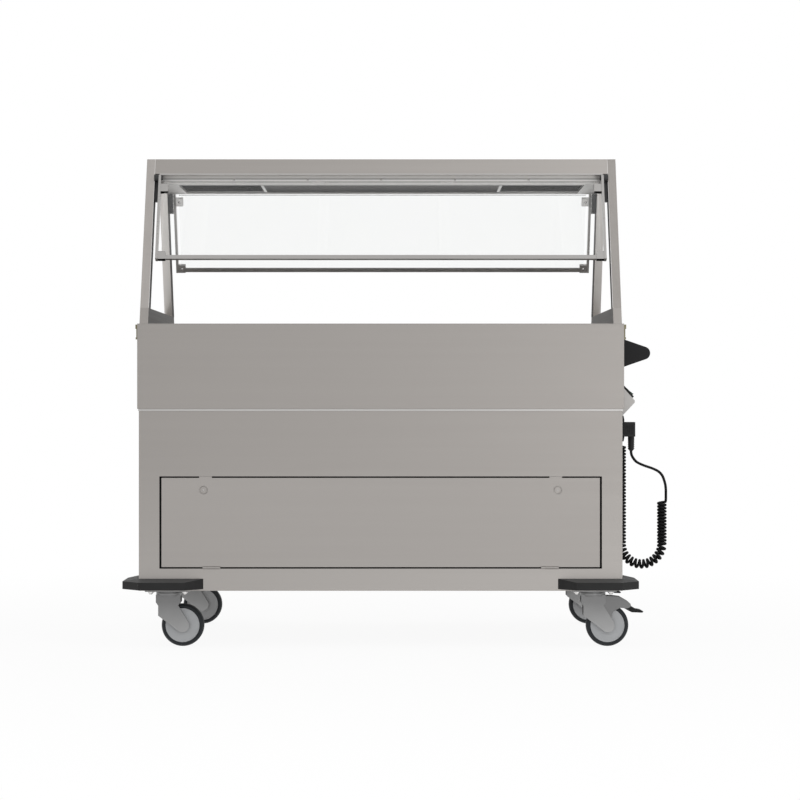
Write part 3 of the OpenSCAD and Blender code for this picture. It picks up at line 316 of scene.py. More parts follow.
def brushed_steel(name, grain, dark, light, roughness, edge=0.0008, painted_shade=0.0, painted_floor_light=0.0,
                  sweep=0.0, painted_low_light=0.0, grazing=1.0):
    """Steel brushed along one axis: 0, 1 or 2 for X, Y or Z.

    Painted shade can darken faces that look inwards along X, and a painted reflection of the pale floor
    can lighten faces that look down and all that lies low down. A painted sweep of light can run the
    tone from one end of the trolley to the other, and grazing says how much the steel mirrors at a
    grazing angle.
    """
    steel = Finish(name)
    lines = steel.noise(1.0, 4, [5.0 if axis == grain else 420.0 for axis in range(3)])
    bands = steel.noise(1.0, 2, [1.5 if axis == grain else 60.0 for axis in range(3)])
    clouds = steel.noise(2.2, 2)
    tone = lines * 0.35 + bands * 0.25 + clouds * 0.4
    # Painted light: a sweep that makes the tone lighter towards one end of the trolley, darker at the
    # other.
    if sweep:
        tone = tone + steel.along(0) * sweep
    colour = steel.blend(tone, dark, light)
    # Painted shade: faces that look inwards along X are darkened towards near-black.
    if painted_shade:
        inward = (steel.faces(0) * (steel.along(0) - MIDDLE) * -INWARD).held()
        colour = steel.mixed(inward ** 4.0 * painted_shade, colour, PAINTED_SHADE_TONE)
    # Painted reflection: faces that look down are lightened towards the pale floor's tone.
    if painted_floor_light:
        downward = (steel.faces(2) * -DOWNWARD).held()
        colour = steel.mixed(downward * painted_floor_light, colour, PAINTED_FLOOR_TONE)
    # Painted floor light: all that lies low down is lightened towards the floor's tone.
    if painted_low_light:
        low_down = ((LOW_DOWN - steel.along(2)) * LOW_FADE).held()
        colour = steel.mixed(low_down * painted_low_light, colour, PAINTED_FLOOR_TONE)
    return steel.surface({
        "Base Color": colour,
        "Metallic": 1.0,
        "Roughness": lines * 0.16 + clouds * 0.06 + (roughness - 0.11),
        "Specular Tint": (grazing, grazing, grazing, 1),
        "Normal": steel.relief(lines, 0.00002, edge),
    })


# The calls below carry painted light and shade. The base, panel, canopy and tray steels are lit copies
# of the body's steel, painted paler for how light falls on those parts; the tray's is far paler against
# the shade under the canopy.
STEEL_DARK = (0.318, 0.299, 0.283)
STEEL_LIGHT = (0.372, 0.352, 0.335)
steel_x = brushed_steel("brushed_steel_along_x", 0, STEEL_DARK, STEEL_LIGHT, 0.42, painted_low_light=0.08)
steel_y = brushed_steel("brushed_steel_along_y", 1, STEEL_DARK, STEEL_LIGHT, 0.42, painted_low_light=0.08)
steel_z = brushed_steel("brushed_steel_along_z", 2, (0.270, 0.254, 0.240), (0.455, 0.430, 0.410),
                        0.42, painted_shade=0.75, painted_floor_light=0.7, sweep=-0.5, grazing=0.35)
rail_steel = brushed_steel("brushed_rail_steel", 1, STEEL_DARK, STEEL_LIGHT, 0.42, painted_shade=0.65,
                           grazing=0.5)
base_steel = brushed_steel("brushed_base_steel", 0, (0.348, 0.328, 0.310), (0.413, 0.391, 0.372),
                           0.42, sweep=-0.5)
panel_steel = brushed_steel("brushed_panel_steel", 0, (0.330, 0.311, 0.295), (0.386, 0.365, 0.348),
                            0.42, sweep=-0.5)
canopy_steel = brushed_steel("brushed_canopy_steel", 0, (0.335, 0.315, 0.298), (0.425, 0.402, 0.383),
                             0.42, painted_floor_light=0.7, sweep=0.45)
well_steel = brushed_steel("drawn_well_steel", 1, (0.70, 0.69, 0.68), (0.78, 0.77, 0.76), 0.45, 0.0004)
tray_steel = brushed_steel("brushed_tray_steel", 0, (0.56, 0.545, 0.53), (0.65, 0.635, 0.62), 0.45)
bright_x = brushed_steel("satin_steel_along_x", 0, (0.36, 0.35, 0.34), (0.42, 0.41, 0.40), 0.30, 0.0004)
bright_y = brushed_steel("satin_steel_along_y", 1, (0.42, 0.41, 0.40), (0.48, 0.47, 0.46), 0.26, 0.0004)
# Paler than the body's steel: the ground edges' own tone, and a painted highlight on the hems.
ground_and_highlight_steel = brushed_steel("ground_steel_and_painted_highlight", 0, (0.46, 0.45, 0.44), (0.52, 0.51, 0.50), 0.35, 0)
# Very pale: the clamp plates' polished tone, and a painted highlight on leg edges and tray strips.
polished_and_highlight_steel = brushed_steel("polished_steel_and_painted_highlight", 2, (0.72, 0.71, 0.70), (0.85, 0.84, 0.83), 0.35, 0)
screw_steel = brushed_steel("polished_screw_steel", 2, (0.60, 0.59, 0.58), (0.70, 0.69, 0.68), 0.22,
                            0.0002)
print(f"{len(bpy.data.materials)} materials with the steels")

# %% [markdown]
# Zinc-plated castors are bluer than the sheet steel, and their plating has a fine mottle. A fork's
# plating is painted paler low down, as painted floor light, and darker towards its head and inside its
# cheeks, as painted shade. The clamps at the worktop's edge carry yellow passivated zinc.

# %% Zinc plate
CASTOR_Y = 0.2625
CHEEK_FACE = 0.0205
FORK_HEAD, FORK_FADE = 0.105, 14


def zinc_plate(name, dark, light, roughness, painted_shade=False):
    """Zinc plate; a fork's has painted shade, darker towards its head and on all that lies inside its
    cheeks.
    """
    plate = Finish(name)
    mottle = plate.noise(260.0, 3)
    clouds = plate.noise(24.0, 2)
    tone = mottle * 0.4 + clouds * 0.6
    if painted_shade:
        # Painted light and shade: paler low down, darker towards the head and inside the cheeks.
        low_down = ((FORK_HEAD - plate.along(2)) * FORK_FADE).held()
        off_axis = (plate.along(1).math("ABSOLUTE") - CASTOR_Y).math("ABSOLUTE")
        tone = tone * 0.3 + low_down * 0.7 - off_axis.math("LESS_THAN", CHEEK_FACE) * 0.45
    return plate.surface({
        "Base Color": plate.blend(tone.math("MAXIMUM", 0.0), dark, light),
        "Metallic": 0.85,
        "Roughness": mottle * 0.15 + (roughness - 0.07),
        "Normal": plate.relief(mottle, 0.00004, 0.0006),
    })


zinc = zinc_plate("zinc_plate", (0.22, 0.22, 0.22), (0.28, 0.28, 0.28), 0.42)
fork_zinc = zinc_plate("fork_zinc_plate", (0.19, 0.19, 0.19), (0.37, 0.37, 0.37), 0.42, painted_shade=True)
yellow_zinc = zinc_plate("yellow_zinc_plate", (0.11, 0.10, 0.065), (0.28, 0.255, 0.165), 0.35)
print("zinc plates:", zinc.name, fork_zinc.name, yellow_zinc.name)

# %% [markdown]
# Moulded plastics and rubbers share one recipe: a colour that hardly varies, a fine spark-eroded grain
# in the bump, and a roughness of their own. Rubber that gets knocked is duller and a little dusty, and
# what faces up can be painted paler, as painted light from above.

# %% Moulded plastic and rubber
def moulded(name, colour, roughness, grain=1500.0, depth=0.00003, dust=0.02, edge=0.0006, gloss=0.5,
            painted_top_light=0.0):
    """Moulded plastic or rubber; what faces up can be painted paler, as painted light from above."""
    skin = Finish(name)
    pores = skin.noise(grain, 2)
    patches = skin.noise(30.0, 3)
    pale = tuple(c + dust * (1 - c) for c in colour)
    tone = skin.blend(patches ** 2.0 * 1.6, colour, pale)
    # Painted light: faces that look up are lightened, as if lit from above.
    if painted_top_light:
        upward = (skin.faces(2) - 0.3).held()
        tone = skin.mixed(upward * (patches * 0.6 + 0.9), tone, (painted_top_light, painted_top_light, painted_top_light, 1))
    return skin.surface({
        "Base Color": tone,
        "Roughness": patches * 0.12 + (roughness - 0.06),
        "Specular IOR Level": gloss,
        "Normal": skin.relief(pores, depth, edge),
    })


black_plastic = moulded("black_moulded_plastic", (0.009, 0.009, 0.0095), 0.5, dust=0.006, gloss=0.2)
bumper_rubber = moulded("bumper_rubber", (0.018, 0.018, 0.018), 0.62, 900.0, 0.00006, 0.01, 0.0012,
                        gloss=0.2, painted_top_light=0.075)
plate_plastic = moulded("hinge_plate_plastic", (0.040, 0.040, 0.041), 0.5, dust=0.01, gloss=0.2)
plug_rubber = moulded("plug_rubber", (0.018, 0.018, 0.0185), 0.5, dust=0.01, gloss=0.2)
# Near-black: a real rubber seal, and painted shade in the panel's gap and the tray's shadow lines.
seal_rubber_and_painted_shade = moulded("seal_rubber_and_painted_shade", (0.004, 0.004, 0.004), 0.7, 900.0, 0.00003, 0.002, 0, gloss=0.05)
wheel_plastic = moulded("grey_wheel_plastic", (0.43, 0.44, 0.45), 0.45, 1200.0, 0.00002, 0.05,
                        gloss=0.3)
tyre_rubber = moulded("tyre_rubber", (0.020, 0.023, 0.026), 0.6, 700.0, 0.00006, 0.01, gloss=0.2)
cord_rubber = moulded("cord_rubber", (0.010, 0.010, 0.0105), 0.55, 900.0, 0.00003, 0.004, 0, gloss=0.08)
housing_paint = moulded("light_grey_paint", (0.62, 0.603, 0.585), 0.38, 700.0, 0.00003, 0.05, gloss=0.3)
rocker_plastic = moulded("dark_green_rocker", (0.003, 0.040, 0.019), 0.25, 1500.0, 0.00001, 0.01,
                         0.0004)
mark_white = moulded("white_marks", (0.62, 0.62, 0.60), 0.5, 1500.0, 0.00001, 0.05, 0)
gloss_plastic = moulded("black_gloss_plastic", (0.010, 0.010, 0.0105), 0.25, dust=0.004, edge=0.0002,
                        gloss=0.35)
print(f"{len(bpy.data.materials)} materials with the plastics")

# %% [markdown]
# The lamp unit is one pressed part: a pan with the long lamp housing below it. The pan is painted
# near-black, as painted shade for the recess it lies in, and the housing's paler enamel has painted
# shade that darkens it towards the back, so one material carries both tones and a mask on X and Y says
# where each lies.

# %% Lamp enamel
LAMP_HALF = 0.289
# The pan's near-black is painted shade for the recess it lies in.
PAN_SHADE_TONE, HOUSING_PALE = (0.016, 0.016, 0.0155), (0.33, 0.325, 0.32)
lamp_low, lamp_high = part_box("lamp_unit")
enamel = Finish("lamp_enamel_with_painted_shade")
grit = enamel.noise(500.0, 3)
on_housing = (enamel.along(0) - MIDDLE).math("ABSOLUTE").math("LESS_THAN", LAMP_HALF)
# Painted shade: the housing darkens towards the back.
painted_back_shade = (enamel.along(1) * -6.0 + 0.45).held()
lamp_enamel = enamel.surface({
    "Base Color": enamel.blend(on_housing * (painted_back_shade * 0.75 + 0.13) + grit * 0.06, PAN_SHADE_TONE, HOUSING_PALE),
    "Roughness": grit * 0.15 + 0.6,
    "Specular IOR Level": 0.0,
    "Normal": enamel.relief(grit, 0.00004),
})
print(f"the lamp unit is {lamp_high[0] - lamp_low[0]:.3f} m long")

# %% [markdown]
# The flaps are clear safety glass. Refraction is what makes glass look like glass, so the shader
# transmits everything, and only its faint green tint and its edges show against a white room.

# %% Safety glass
glass = Finish("clear_safety_glass")
smears = glass.noise(9.0, 3)
flap_glass = glass.surface({
    "Base Color": glass.blend(smears, (0.978, 0.984, 0.981), (0.990, 0.993, 0.991)),
    "Roughness": smears * 0.02,
    "Transmission Weight": 1.0,
    "IOR": 1.45,
})
print("glass:", flap_glass.name)

# %% [markdown]
# Each CAD piece now gets its finish by name. A piece keeps the material slot that the frame gave it,
# and only the finish in the slot changes. The sheets whose grain runs another way have a steel of
# their own.

# %% Dress the CAD pieces
WHEELS = ("fl", "fr", "bl", "br")
FINISHES = {
    steel_x: ["cabinet_front", "cabinet_back", "upper_casing", "worktop", "panel_lock_left",
              "panel_lock_right", "panel_hinges"],
    base_steel: ["base_plate"],
    panel_steel: ["service_panel"],
    canopy_steel: ["canopy_shell"],
    tray_steel: ["lamp_tray"],
    steel_y: ["cabinet_side_left", "cabinet_side_right"],
    rail_steel: ["side_rails"],
    steel_z: ["canopy_legs"],
    bright_x: ["front_flap_frame", "back_flap_frame"],
    bright_y: ["handle_tube"],
    well_steel: ["well_left", "well_middle", "well_right"],
    zinc: ["frame_posts", "drain_pipe", "castor_plates", "brake_arm_fr", "brake_arm_br"],
    fork_zinc: [f"castor_fork_{w}" for w in WHEELS],
    screw_steel: ["castor_bolts"],
    yellow_zinc: ["worktop_clamps"],
    black_plastic: ["well_heaters", "handle_cheeks", "control_fascia", "parking_socket", "cable_gland",
                    "brake_pad_fr", "brake_pad_br"],
    plug_rubber: ["plug"],
    plate_plastic: ["hinge_plates"],
    bumper_rubber: ["corner_bumpers"],
    wheel_plastic: [f"castor_wheel_{w}" for w in WHEELS],
    tyre_rubber: [f"castor_tyre_{w}" for w in WHEELS],
    housing_paint: ["control_housing"],
    rocker_plastic: [f"rocker_{i}" for i in (1, 2, 3, 4)],
    lamp_enamel: ["lamp_unit"],
    flap_glass: ["front_flap_glass", "back_flap_glass"],
}
for finish, names in FINISHES.items():
    for name in names:
        for slot in NODES[name].material_slots:
            slot.material = finish
dressed = {name for names in FINISHES.values() for name in names}
cord.data.materials.append(cord_rubber)
print(f"{len(dressed)} CAD pieces are dressed; the cord stands for {sorted(set(NODES) - dressed)}")

# %% [markdown]
# Trim is what makes sheet metal look made: seals in the gaps, ground edges, screws, marks. Each piece
# is mesh code. Nearly all of it is one of three things: a solid hull round a few points, an outline
# turned round an axis, or a frame between two outlines. So a small class holds a mesh and adds those
# three to it. Sizes are in millimetres from the body's middle, as on a drawing, and `mm` puts them in
# the frame.

# %% A class for small pieces
SHARP = math.radians(32)


def mm(x, y, z):
    """A point in the frame from millimetres off the body's middle."""
    return Vector((MIDDLE + x / 1000, y / 1000, z / 1000))


class Shape:
    """A mesh under construction, already in its place in the frame."""

    def __init__(self):
        self.bm = bmesh.new()

    def hull(self, points):
        """The solid that wraps tightly round some points."""
        made = [self.bm.verts.new(p) for p in points]
        bmesh.ops.convex_hull(self.bm, input=made, use_existing_faces=False)
        return self

    def block(self, low, high, cut=0.3, place=None):
        """A block between two corners with its edges cut off; a function may put it in its place."""
        place = place or mm
        points = []
        for corner in range(8):
            ends = [(low[i], 1) if corner >> i & 1 == 0 else (high[i], -1) for i in range(3)]
            for spared in range(3):
                points.append(place(*(end + (0 if i == spared else cut * inward)
                                      for i, (end, inward) in enumerate(ends))))
        return self.hull(points)

    def turned(self, outline, middle, axis, sides=32, closed=False):
        """An outline of (radius, height) in millimetres, turned round an axis."""
        turn = Vector(axis).normalized().to_track_quat("Z", "Y")
        rings = []
        for radius, height in outline:
            count = sides if radius else 1
            angles = [FULL * (i + 0.5) / sides for i in range(count)]
            rings.append([self.bm.verts.new(middle + turn @ Vector(
                (radius * math.cos(a), radius * math.sin(a), height)) / 1000) for a in angles])
        if closed:
            rings.append(rings[0])
        for a, b in zip(rings, rings[1:]):
            for i in range(sides):
                j = (i + 1) % sides
                corners = [a[i % len(a)], a[j % len(a)], b[j % len(b)], b[i % len(b)]]
                self.bm.faces.new(dict.fromkeys(corners))
        return self

    def framed(self, loops):
        """A closed ring whose section runs through loops with as many points each."""
        made = [[self.bm.verts.new(p) for p in loop] for loop in loops]
        for a, b in zip(made, made[1:] + made[:1]):
            for i in range(len(a)):
                j = (i + 1) % len(a)
                self.bm.faces.new((a[i], a[j], b[j], b[i]))
        return self

    def piece(self, name, finish, slot, body="root"):
        """Ends the mesh as an object that rides on a body."""
        bmesh.ops.recalc_face_normals(self.bm, faces=self.bm.faces)
        for face in self.bm.faces:
            face.smooth = True
        for edge in self.bm.edges:
            edge.smooth = edge.calc_face_angle(0) < SHARP
        mesh = bpy.data.meshes.new(name)
        self.bm.to_mesh(mesh)
        self.bm.free()
        made = bpy.data.objects.new(name, mesh)
        bpy.context.scene.collection.objects.link(made)
        mesh.materials.append(finish)
        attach(made, body)
        print(f"{name}: {len(mesh.polygons)} faces on {body}")
        return made


# %% [markdown]
# The service panel closes against a rubber seal that lines its opening. The seal is painted near-black,
# as painted shade, so that the gap reads as a black line. The seal's lip lies over the opening's edge,
# and it leaves room for the panel to swing, for the two tabs above and for the two hinges below.

# %% The seal round the service panel
SIDES = (-1, 1)
CAB_X, CAB_Y = 566.5, 321.5
PANEL_X, PANEL_LOW, PANEL_TOP = 513.5, 190.5, 399.5
OPENING_X, OPENING_LOW, OPENING_TOP = 517.8, 187.5, 402.5
TAB = (395.2, 425.4)
HINGE = (375.3, 417.7)
SEAL_LIP, SEAL_PROUD, SEAL_DEPTH, SEAL_ROOM = 0.6, 0.15, 1.5, 0.4
seal = Shape()


def seal_strip(x0, x1, z0, z1):
    """One straight run of the seal."""
    seal.block((x0, -CAB_Y - SEAL_PROUD, z0), (x1, -CAB_Y + SEAL_DEPTH, z1), 0.1)


for side in SIDES:
    ends = sorted((side * (PANEL_X + SEAL_ROOM), side * (OPENING_X + SEAL_LIP)))
    seal_strip(*ends, OPENING_LOW, OPENING_TOP)
for cut, z0, z1 in ((TAB, PANEL_TOP + SEAL_ROOM, OPENING_TOP + SEAL_LIP),
                    (HINGE, OPENING_LOW - SEAL_LIP, PANEL_LOW - SEAL_ROOM)):
    for x0, x1 in ((-OPENING_X, -cut[1]), (-cut[0], cut[0]), (cut[1], OPENING_X)):
        seal_strip(x0, x1, z0, z1)
seal.piece("panel_seal", seal_rubber_and_painted_shade, "bumper_rubber")

# %% [markdown]
# Each lock is a flush steel disc with a ring turned into its face and a triangular key socket. A
# service key turns it, so the ring and the socket ride with the lock.

# %% Lock faces
LOCK_X, LOCK_Z = 415, 371
LOCK_RING = [(7.2, -0.2), (7.2, 0.25), (7.5, 0.45), (8.0, 0.45), (8.2, 0.25), (8.2, -0.2)]
KEY_SOCKET = [(3.4, -0.2), (3.4, 0.25), (3.0, 0.4), (0, 0.4)]
for name, side in (("left", -1), ("right", 1)):
    face = mm(side * LOCK_X, -CAB_Y, LOCK_Z)
    ring = Shape().turned(LOCK_RING, face, (0, -1, 0), 40, closed=True)
    ring.piece(f"lock_ring_{name}", steel_x, "polished_steel", f"panel_lock_{name}")
    socket = Shape().turned(KEY_SOCKET, face, (0, -1, 0), 3)
    socket.piece(f"lock_key_{name}", bright_x, "polished_steel", f"panel_lock_{name}")

# %% [markdown]
# The upper casing stands 3.5 mm proud of the cabinet, and its lower hem is folded back under it. The
# hem is painted paler as a painted highlight, one bright line round the body that stops at the control
# box.

# %% The casing's folded hem
HEM_LOW, HEM_TOP, HEM_T, HEM_CUT = 556.3, 561, 1.6, 0.4
HOUSING_Y = (-145, 155)
hem = Shape()
for side in SIDES:
    y = sorted((side * CAB_Y, side * (CAB_Y + HEM_T)))
    hem.block((-CAB_X - HEM_T, y[0], HEM_LOW), (CAB_X + HEM_T, y[1], HEM_TOP), HEM_CUT)
hem.block((-CAB_X - HEM_T, -CAB_Y, HEM_LOW), (-CAB_X, CAB_Y, HEM_TOP), HEM_CUT)
for y0, y1 in ((-CAB_Y, HOUSING_Y[0]), (HOUSING_Y[1], CAB_Y)):
    hem.block((CAB_X, y0, HEM_LOW), (CAB_X + HEM_T, y1, HEM_TOP), HEM_CUT)
hem.piece("casing_hem", ground_and_highlight_steel, "brushed_steel")

# %% [markdown]
# The canopy's sheet runs between the four legs, and a thin pale bead follows the inner edge of each leg
# up to the top, a painted highlight on the legs' rounded edges. On the lamp tray's long sides a flat
# strip holds the tray up, with screws along it; the strip is painted pale as a painted highlight, and a
# near-black strip above it is a painted shadow line.

# %% Painted highlights on the legs' edges, and hems of the canopy
FRAME_X = 547
WORK, RAIL_TOP, APRON_Z, CANOPY_TOP = 761, 799, 1128, 1165
LEG_FOOT, LEG_HEAD = 305, 146.5
LEG_LEAN = (LEG_FOOT - LEG_HEAD) / (CANOPY_TOP - WORK)
HEM_X = 535.5


def leg_front(z):
    """How far out a leg's front edge lies at a height."""
    return LEG_FOOT - LEG_LEAN * (z - WORK)


# A painted highlight: a pale bead along the inner front edge of each leg.
LEG_HIGHLIGHT = ((-0.6, -0.3), (-0.3, 0.35), (0.3, 0.35), (0.6, -0.3))
leg_highlights = Shape()
for side in SIDES:
    for way in SIDES:
        leg_highlights.hull([mm(side * (FRAME_X + x), way * (leg_front(z) + out), z)
                    for z in (RAIL_TOP, CANOPY_TOP - 0.5) for x, out in LEG_HIGHLIGHT])
leg_highlights.piece("canopy_leg_highlights", polished_and_highlight_steel, "brushed_steel")

# A painted highlight: a pale hem along the lower edge of each apron.
HEM = ((-0.9, -1.8), (0.4, -1.8), (0, 0.7), (-0.9, 0.7))
hems = Shape()
for way in SIDES:
    hems.hull([mm(side * HEM_X, way * (leg_front(APRON_Z) + out), APRON_Z + z)
               for side in SIDES for out, z in HEM])
hems.piece("canopy_hems", ground_and_highlight_steel, "brushed_steel")

# %% Strips, painted shadow lines and screws of the lamp tray
TRAY_Y, TRAY_LOW = 126, 1105
SCREW_PITCH, SCREW_H = 179, 1116.7
SCREW_HEAD = [(0, 2.0), (1.2, 1.9), (2.1, 1.4), (2.4, 1.0)]
# The strips are painted pale as a painted highlight; the lines are near-black strips of painted shadow.
strips, lines, heads = Shape(), Shape(), Shape()
for way in SIDES:
    for shape, z0, z1, proud in ((strips, 1115.5, 1118, 1.2), (lines, 1118.4, 1120.0, 0.3)):
        y = sorted((way * (TRAY_Y - 0.1), way * (TRAY_Y + proud)))
        shape.block((-FRAME_X + 0.5, y[0], z0), (FRAME_X - 0.5, y[1], z1), 0.1)
    for i in range(-3, 4):
        heads.turned(SCREW_HEAD, mm(i * SCREW_PITCH, way * TRAY_Y, SCREW_H), (0, way, 0), 16)
strips.piece("tray_strips", polished_and_highlight_steel, "brushed_steel")
lines.piece("tray_painted_shadow_lines", seal_rubber_and_painted_shade, "black_plastic")
heads.piece("tray_screws", screw_steel, "polished_steel")

# %% [markdown]
# The lamp housing ends in two bright pressed caps. Between them three raised diffusers, enamelled like
# the housing, lie in a row on its underside, where the heat and the light come out.

# %% Lamp caps and diffusers
HOUSING_LOW, HOUSING_TOP = TRAY_LOW + 1, TRAY_LOW + 6.5
CAP_X = (1000 * LAMP_HALF, 296)
HOUSING_HALF, HOUSING_TAPER = 88, 8
CAP_SIDE = ((HOUSING_HALF, HOUSING_TOP), (HOUSING_HALF - HOUSING_TAPER, HOUSING_LOW))
PANE_PITCH, PANE_X, PANE_Y = 190, 84, 34
caps, panes = Shape(), Shape()
for side in SIDES:
    caps.hull([mm(side * x, way * half, z) for x in CAP_X for way in SIDES for half, z in CAP_SIDE])
caps.piece("lamp_end_caps", ground_and_highlight_steel, "brushed_steel")
for i in (-1, 0, 1):
    panes.block((i * PANE_PITCH - PANE_X, -PANE_Y, HOUSING_LOW - 0.5),
                (i * PANE_PITCH + PANE_X, PANE_Y, HOUSING_LOW + 0.3), 0.4)
panes.piece("lamp_diffusers", lamp_enamel, "lamp_pan")

# %% [markdown]
# The glass is gripped at four corners of each flap. The clamps are lined with black rubber, which shows
# at their lower ends, and a domed screw holds each one from inside. The upper ones have a bright plate.
# The flaps hang at a lean, so one function turns a place on a flap into a place in the frame.

# %% A place on a flap
PIVOT_Y, PIVOT_H, FLAP_LEAN = 168, 1118, math.radians(22)


def on_flap(way):
    """A function that puts a place on a flap in the frame; way is -1 for the front flap."""
    def place(x, out, z):
        return mm(x, way * (PIVOT_Y + out * math.cos(FLAP_LEAN) - z * math.sin(FLAP_LEAN)),
                  PIVOT_H + out * math.sin(FLAP_LEAN) + z * math.cos(FLAP_LEAN))
    return place


print("the pivot of the front flap:", on_flap(-1)(0, 0, 0))

# %% Linings, plates and screws of the glass clamps
ARM_X, GLASS_X = 530, 522
ARM_L, CLAMP_REACH, CLAMP_L, CLAMP_T = 219, 10, 20.5, 12
CLAMP_DROP = 19
DOME = [(0, 2.1), (1.6, 1.9), (3.0, 1.2), (3.6, 0.2), (3.6, -0.2)]
for name, way in (("front", -1), ("back", 1)):
    place = on_flap(way)
    linings, plates, domes = Shape(), Shape(), Shape()
    for side in SIDES:
        x = sorted((side * (GLASS_X - CLAMP_REACH + 0.3), side * (ARM_X - 0.3)))
        plates.block((x[0], -CLAMP_T / 2 - 0.3, -CLAMP_DROP - CLAMP_L + 1),
                     (x[1], -CLAMP_T / 2 + 0.1, -CLAMP_DROP - 1), 0.1, place)
        for low in (-CLAMP_DROP - CLAMP_L, -ARM_L):
            linings.block((x[0], -CLAMP_T / 2 + 0.2, low - 0.5),
                          (x[1], CLAMP_T / 2 - 0.2, low + 0.1), 0.15, place)
            middle = place(side * (GLASS_X - 1), -CLAMP_T / 2, low + CLAMP_L / 2)
            inward = place(0, -1, 0) - place(0, 0, 0)
            domes.turned(DOME, middle, inward, 20)
    linings.piece(f"{name}_clamp_linings", seal_rubber_and_painted_shade, "black_plastic", f"{name}_flap")
    plates.piece(f"{name}_clamp_plates", polished_and_highlight_steel, "polished_steel", f"{name}_flap")
    domes.piece(f"{name}_clamp_screws", screw_steel, "polished_steel", f"{name}_flap")

# %% [markdown]
# Four rivets fix each hinge plate to its leg. They show as a column of light dots on the black plate.

# %% Rivets of the hinge plates
PLATE_X, TOP_RIVET, RIVET_PITCH, RIVET_IN = 534.3, 1105.5, 11, 27
PLATE_RIVET = [(3.3, -0.6), (3.3, 0.2), (2.5, 1.0), (1.3, 1.4), (0, 1.5)]
plate_rivets = Shape()
for side in SIDES:
    for way in SIDES:
        for i in range(4):
            z = TOP_RIVET - RIVET_PITCH * i
            seat = mm(side * PLATE_X, way * (leg_front(z) - RIVET_IN), z)
            plate_rivets.turned(PLATE_RIVET, seat, (-side, 0, 0), 18)
plate_rivets.piece("hinge_plate_rivets", screw_steel, "polished_steel")

# %% [markdown]
# A pressed bead round each swivel head keeps dirt out of its ball race. It turns with the fork, so each
# castor has its own.

# %% Beads of the swivel heads
SWIVEL_X, SWIVEL_Y = 502, 1000 * CASTOR_Y
CASTORS = {"fl": (-1, -1), "fr": (1, -1), "bl": (-1, 1), "br": (1, 1)}
SWIVEL_BEAD = [(28.7, 121.0), (29.6, 121.4), (30.0, 122.4), (30.0, 126.6), (29.6, 127.6), (28.7, 128.0)]
for tag, (side, way) in CASTORS.items():
    foot = mm(side * SWIVEL_X, way * SWIVEL_Y, 0)
    bead = Shape().turned(SWIVEL_BEAD, foot, (0, 0, 1), 56, closed=True)
    bead.piece(f"swivel_bead_{tag}", zinc, "zinc_plate", f"castor_{tag}")

# %% [markdown]
# The controls lie on a slope. Each rocker sits in a thin bezel, and carries the usual bar for on and
# ring for off, which tilt with it. A function puts a place on the slope in the frame.

# %% A place on the slope, and on a rocker
CASING_X = 570
SLOPE_TOP, SLOPE_OUT, SLOPE_DROP = 630.8, 46.5, 52.6
SLOPE_L = math.hypot(SLOPE_OUT, SLOPE_DROP)
SLOPE_TURN = math.atan2(SLOPE_DROP, SLOPE_OUT)
ROCKER_S, ROCKER_PIVOT, ROCKER_TILT = 0.6 * SLOPE_L, 2.4, math.radians(8)
ROCKER_PITCH, CONTROL_MID, FASCIA_T = 89, 5, 4.8
ROCKER_L, ROCKER_W, ROCKER_RISE = 24, 14, 5.1


def on_slope(down, y, out):
    """A place on the control slope: how far down it, along the trolley's depth, and out of it."""
    return mm(CASING_X + down * math.cos(SLOPE_TURN) + out * math.sin(SLOPE_TURN), y,
              SLOPE_TOP - down * math.sin(SLOPE_TURN) + out * math.cos(SLOPE_TURN))


def rocker_y(i):
    """How far along the trolley's depth a rocker's middle lies."""
    return CONTROL_MID + (i - 1.5) * ROCKER_PITCH


def on_rocker(i):
    """A function that puts a place on a tilted rocker in the frame."""
    def place(along, across, out):
        down = along * math.cos(ROCKER_TILT) - out * math.sin(ROCKER_TILT)
        rise = along * math.sin(ROCKER_TILT) + out * math.cos(ROCKER_TILT)
        return on_slope(ROCKER_S + down, rocker_y(i) + across, ROCKER_PIVOT + rise)
    return place


print("the first rocker's pivot:", on_rocker(0)(0, 0, 0))

# %% Bezels of the rockers
CORNERS = ((-1, -1), (1, -1), (1, 1), (-1, 1))
BEZEL = ((0.9, -0.2), (0.9, 0.5), (1.6, 0.8), (2.9, 0.6), (3.3, -0.2))
bezels = Shape()
for i in range(4):
    loops = []
    for grow, out in BEZEL:
        half_l, half_w = ROCKER_L / 2 + grow, ROCKER_W / 2 + grow - 0.6
        loops.append([on_slope(ROCKER_S + down * half_l, rocker_y(i) + across * half_w, FASCIA_T + out)
                      for down, across in CORNERS])
    bezels.framed(loops)
bezels.piece("rocker_bezels", gloss_plastic, "black_plastic")

# %% Marks of the rockers
BAR = ((-8.6, -0.5, ROCKER_RISE - 0.45), (-4.4, 0.5, ROCKER_RISE - 0.05))
RING_AT, RING = 6.4, [(1.5, -0.3), (1.5, 0.1), (2.3, 0.1), (2.3, -0.3)]
for i in range(4):
    place = on_rocker(i)
    marks = Shape().block(*BAR, 0.05, place)
    upward = place(0, 0, 1) - place(0, 0, 0)
    marks.turned(RING, place(RING_AT, 0, ROCKER_RISE - 0.3), upward, 24, closed=True)
    marks.piece(f"rocker_marks_{i + 1}", mark_white, "rocker_green", f"rocker_{i + 1}")

# %% [markdown]
# The plug's relief is ribbed so that it bends softly, its body has a row of grip ridges on each side,
# and a hexagon nut holds the cord's elbow gland to the cabinet's side.

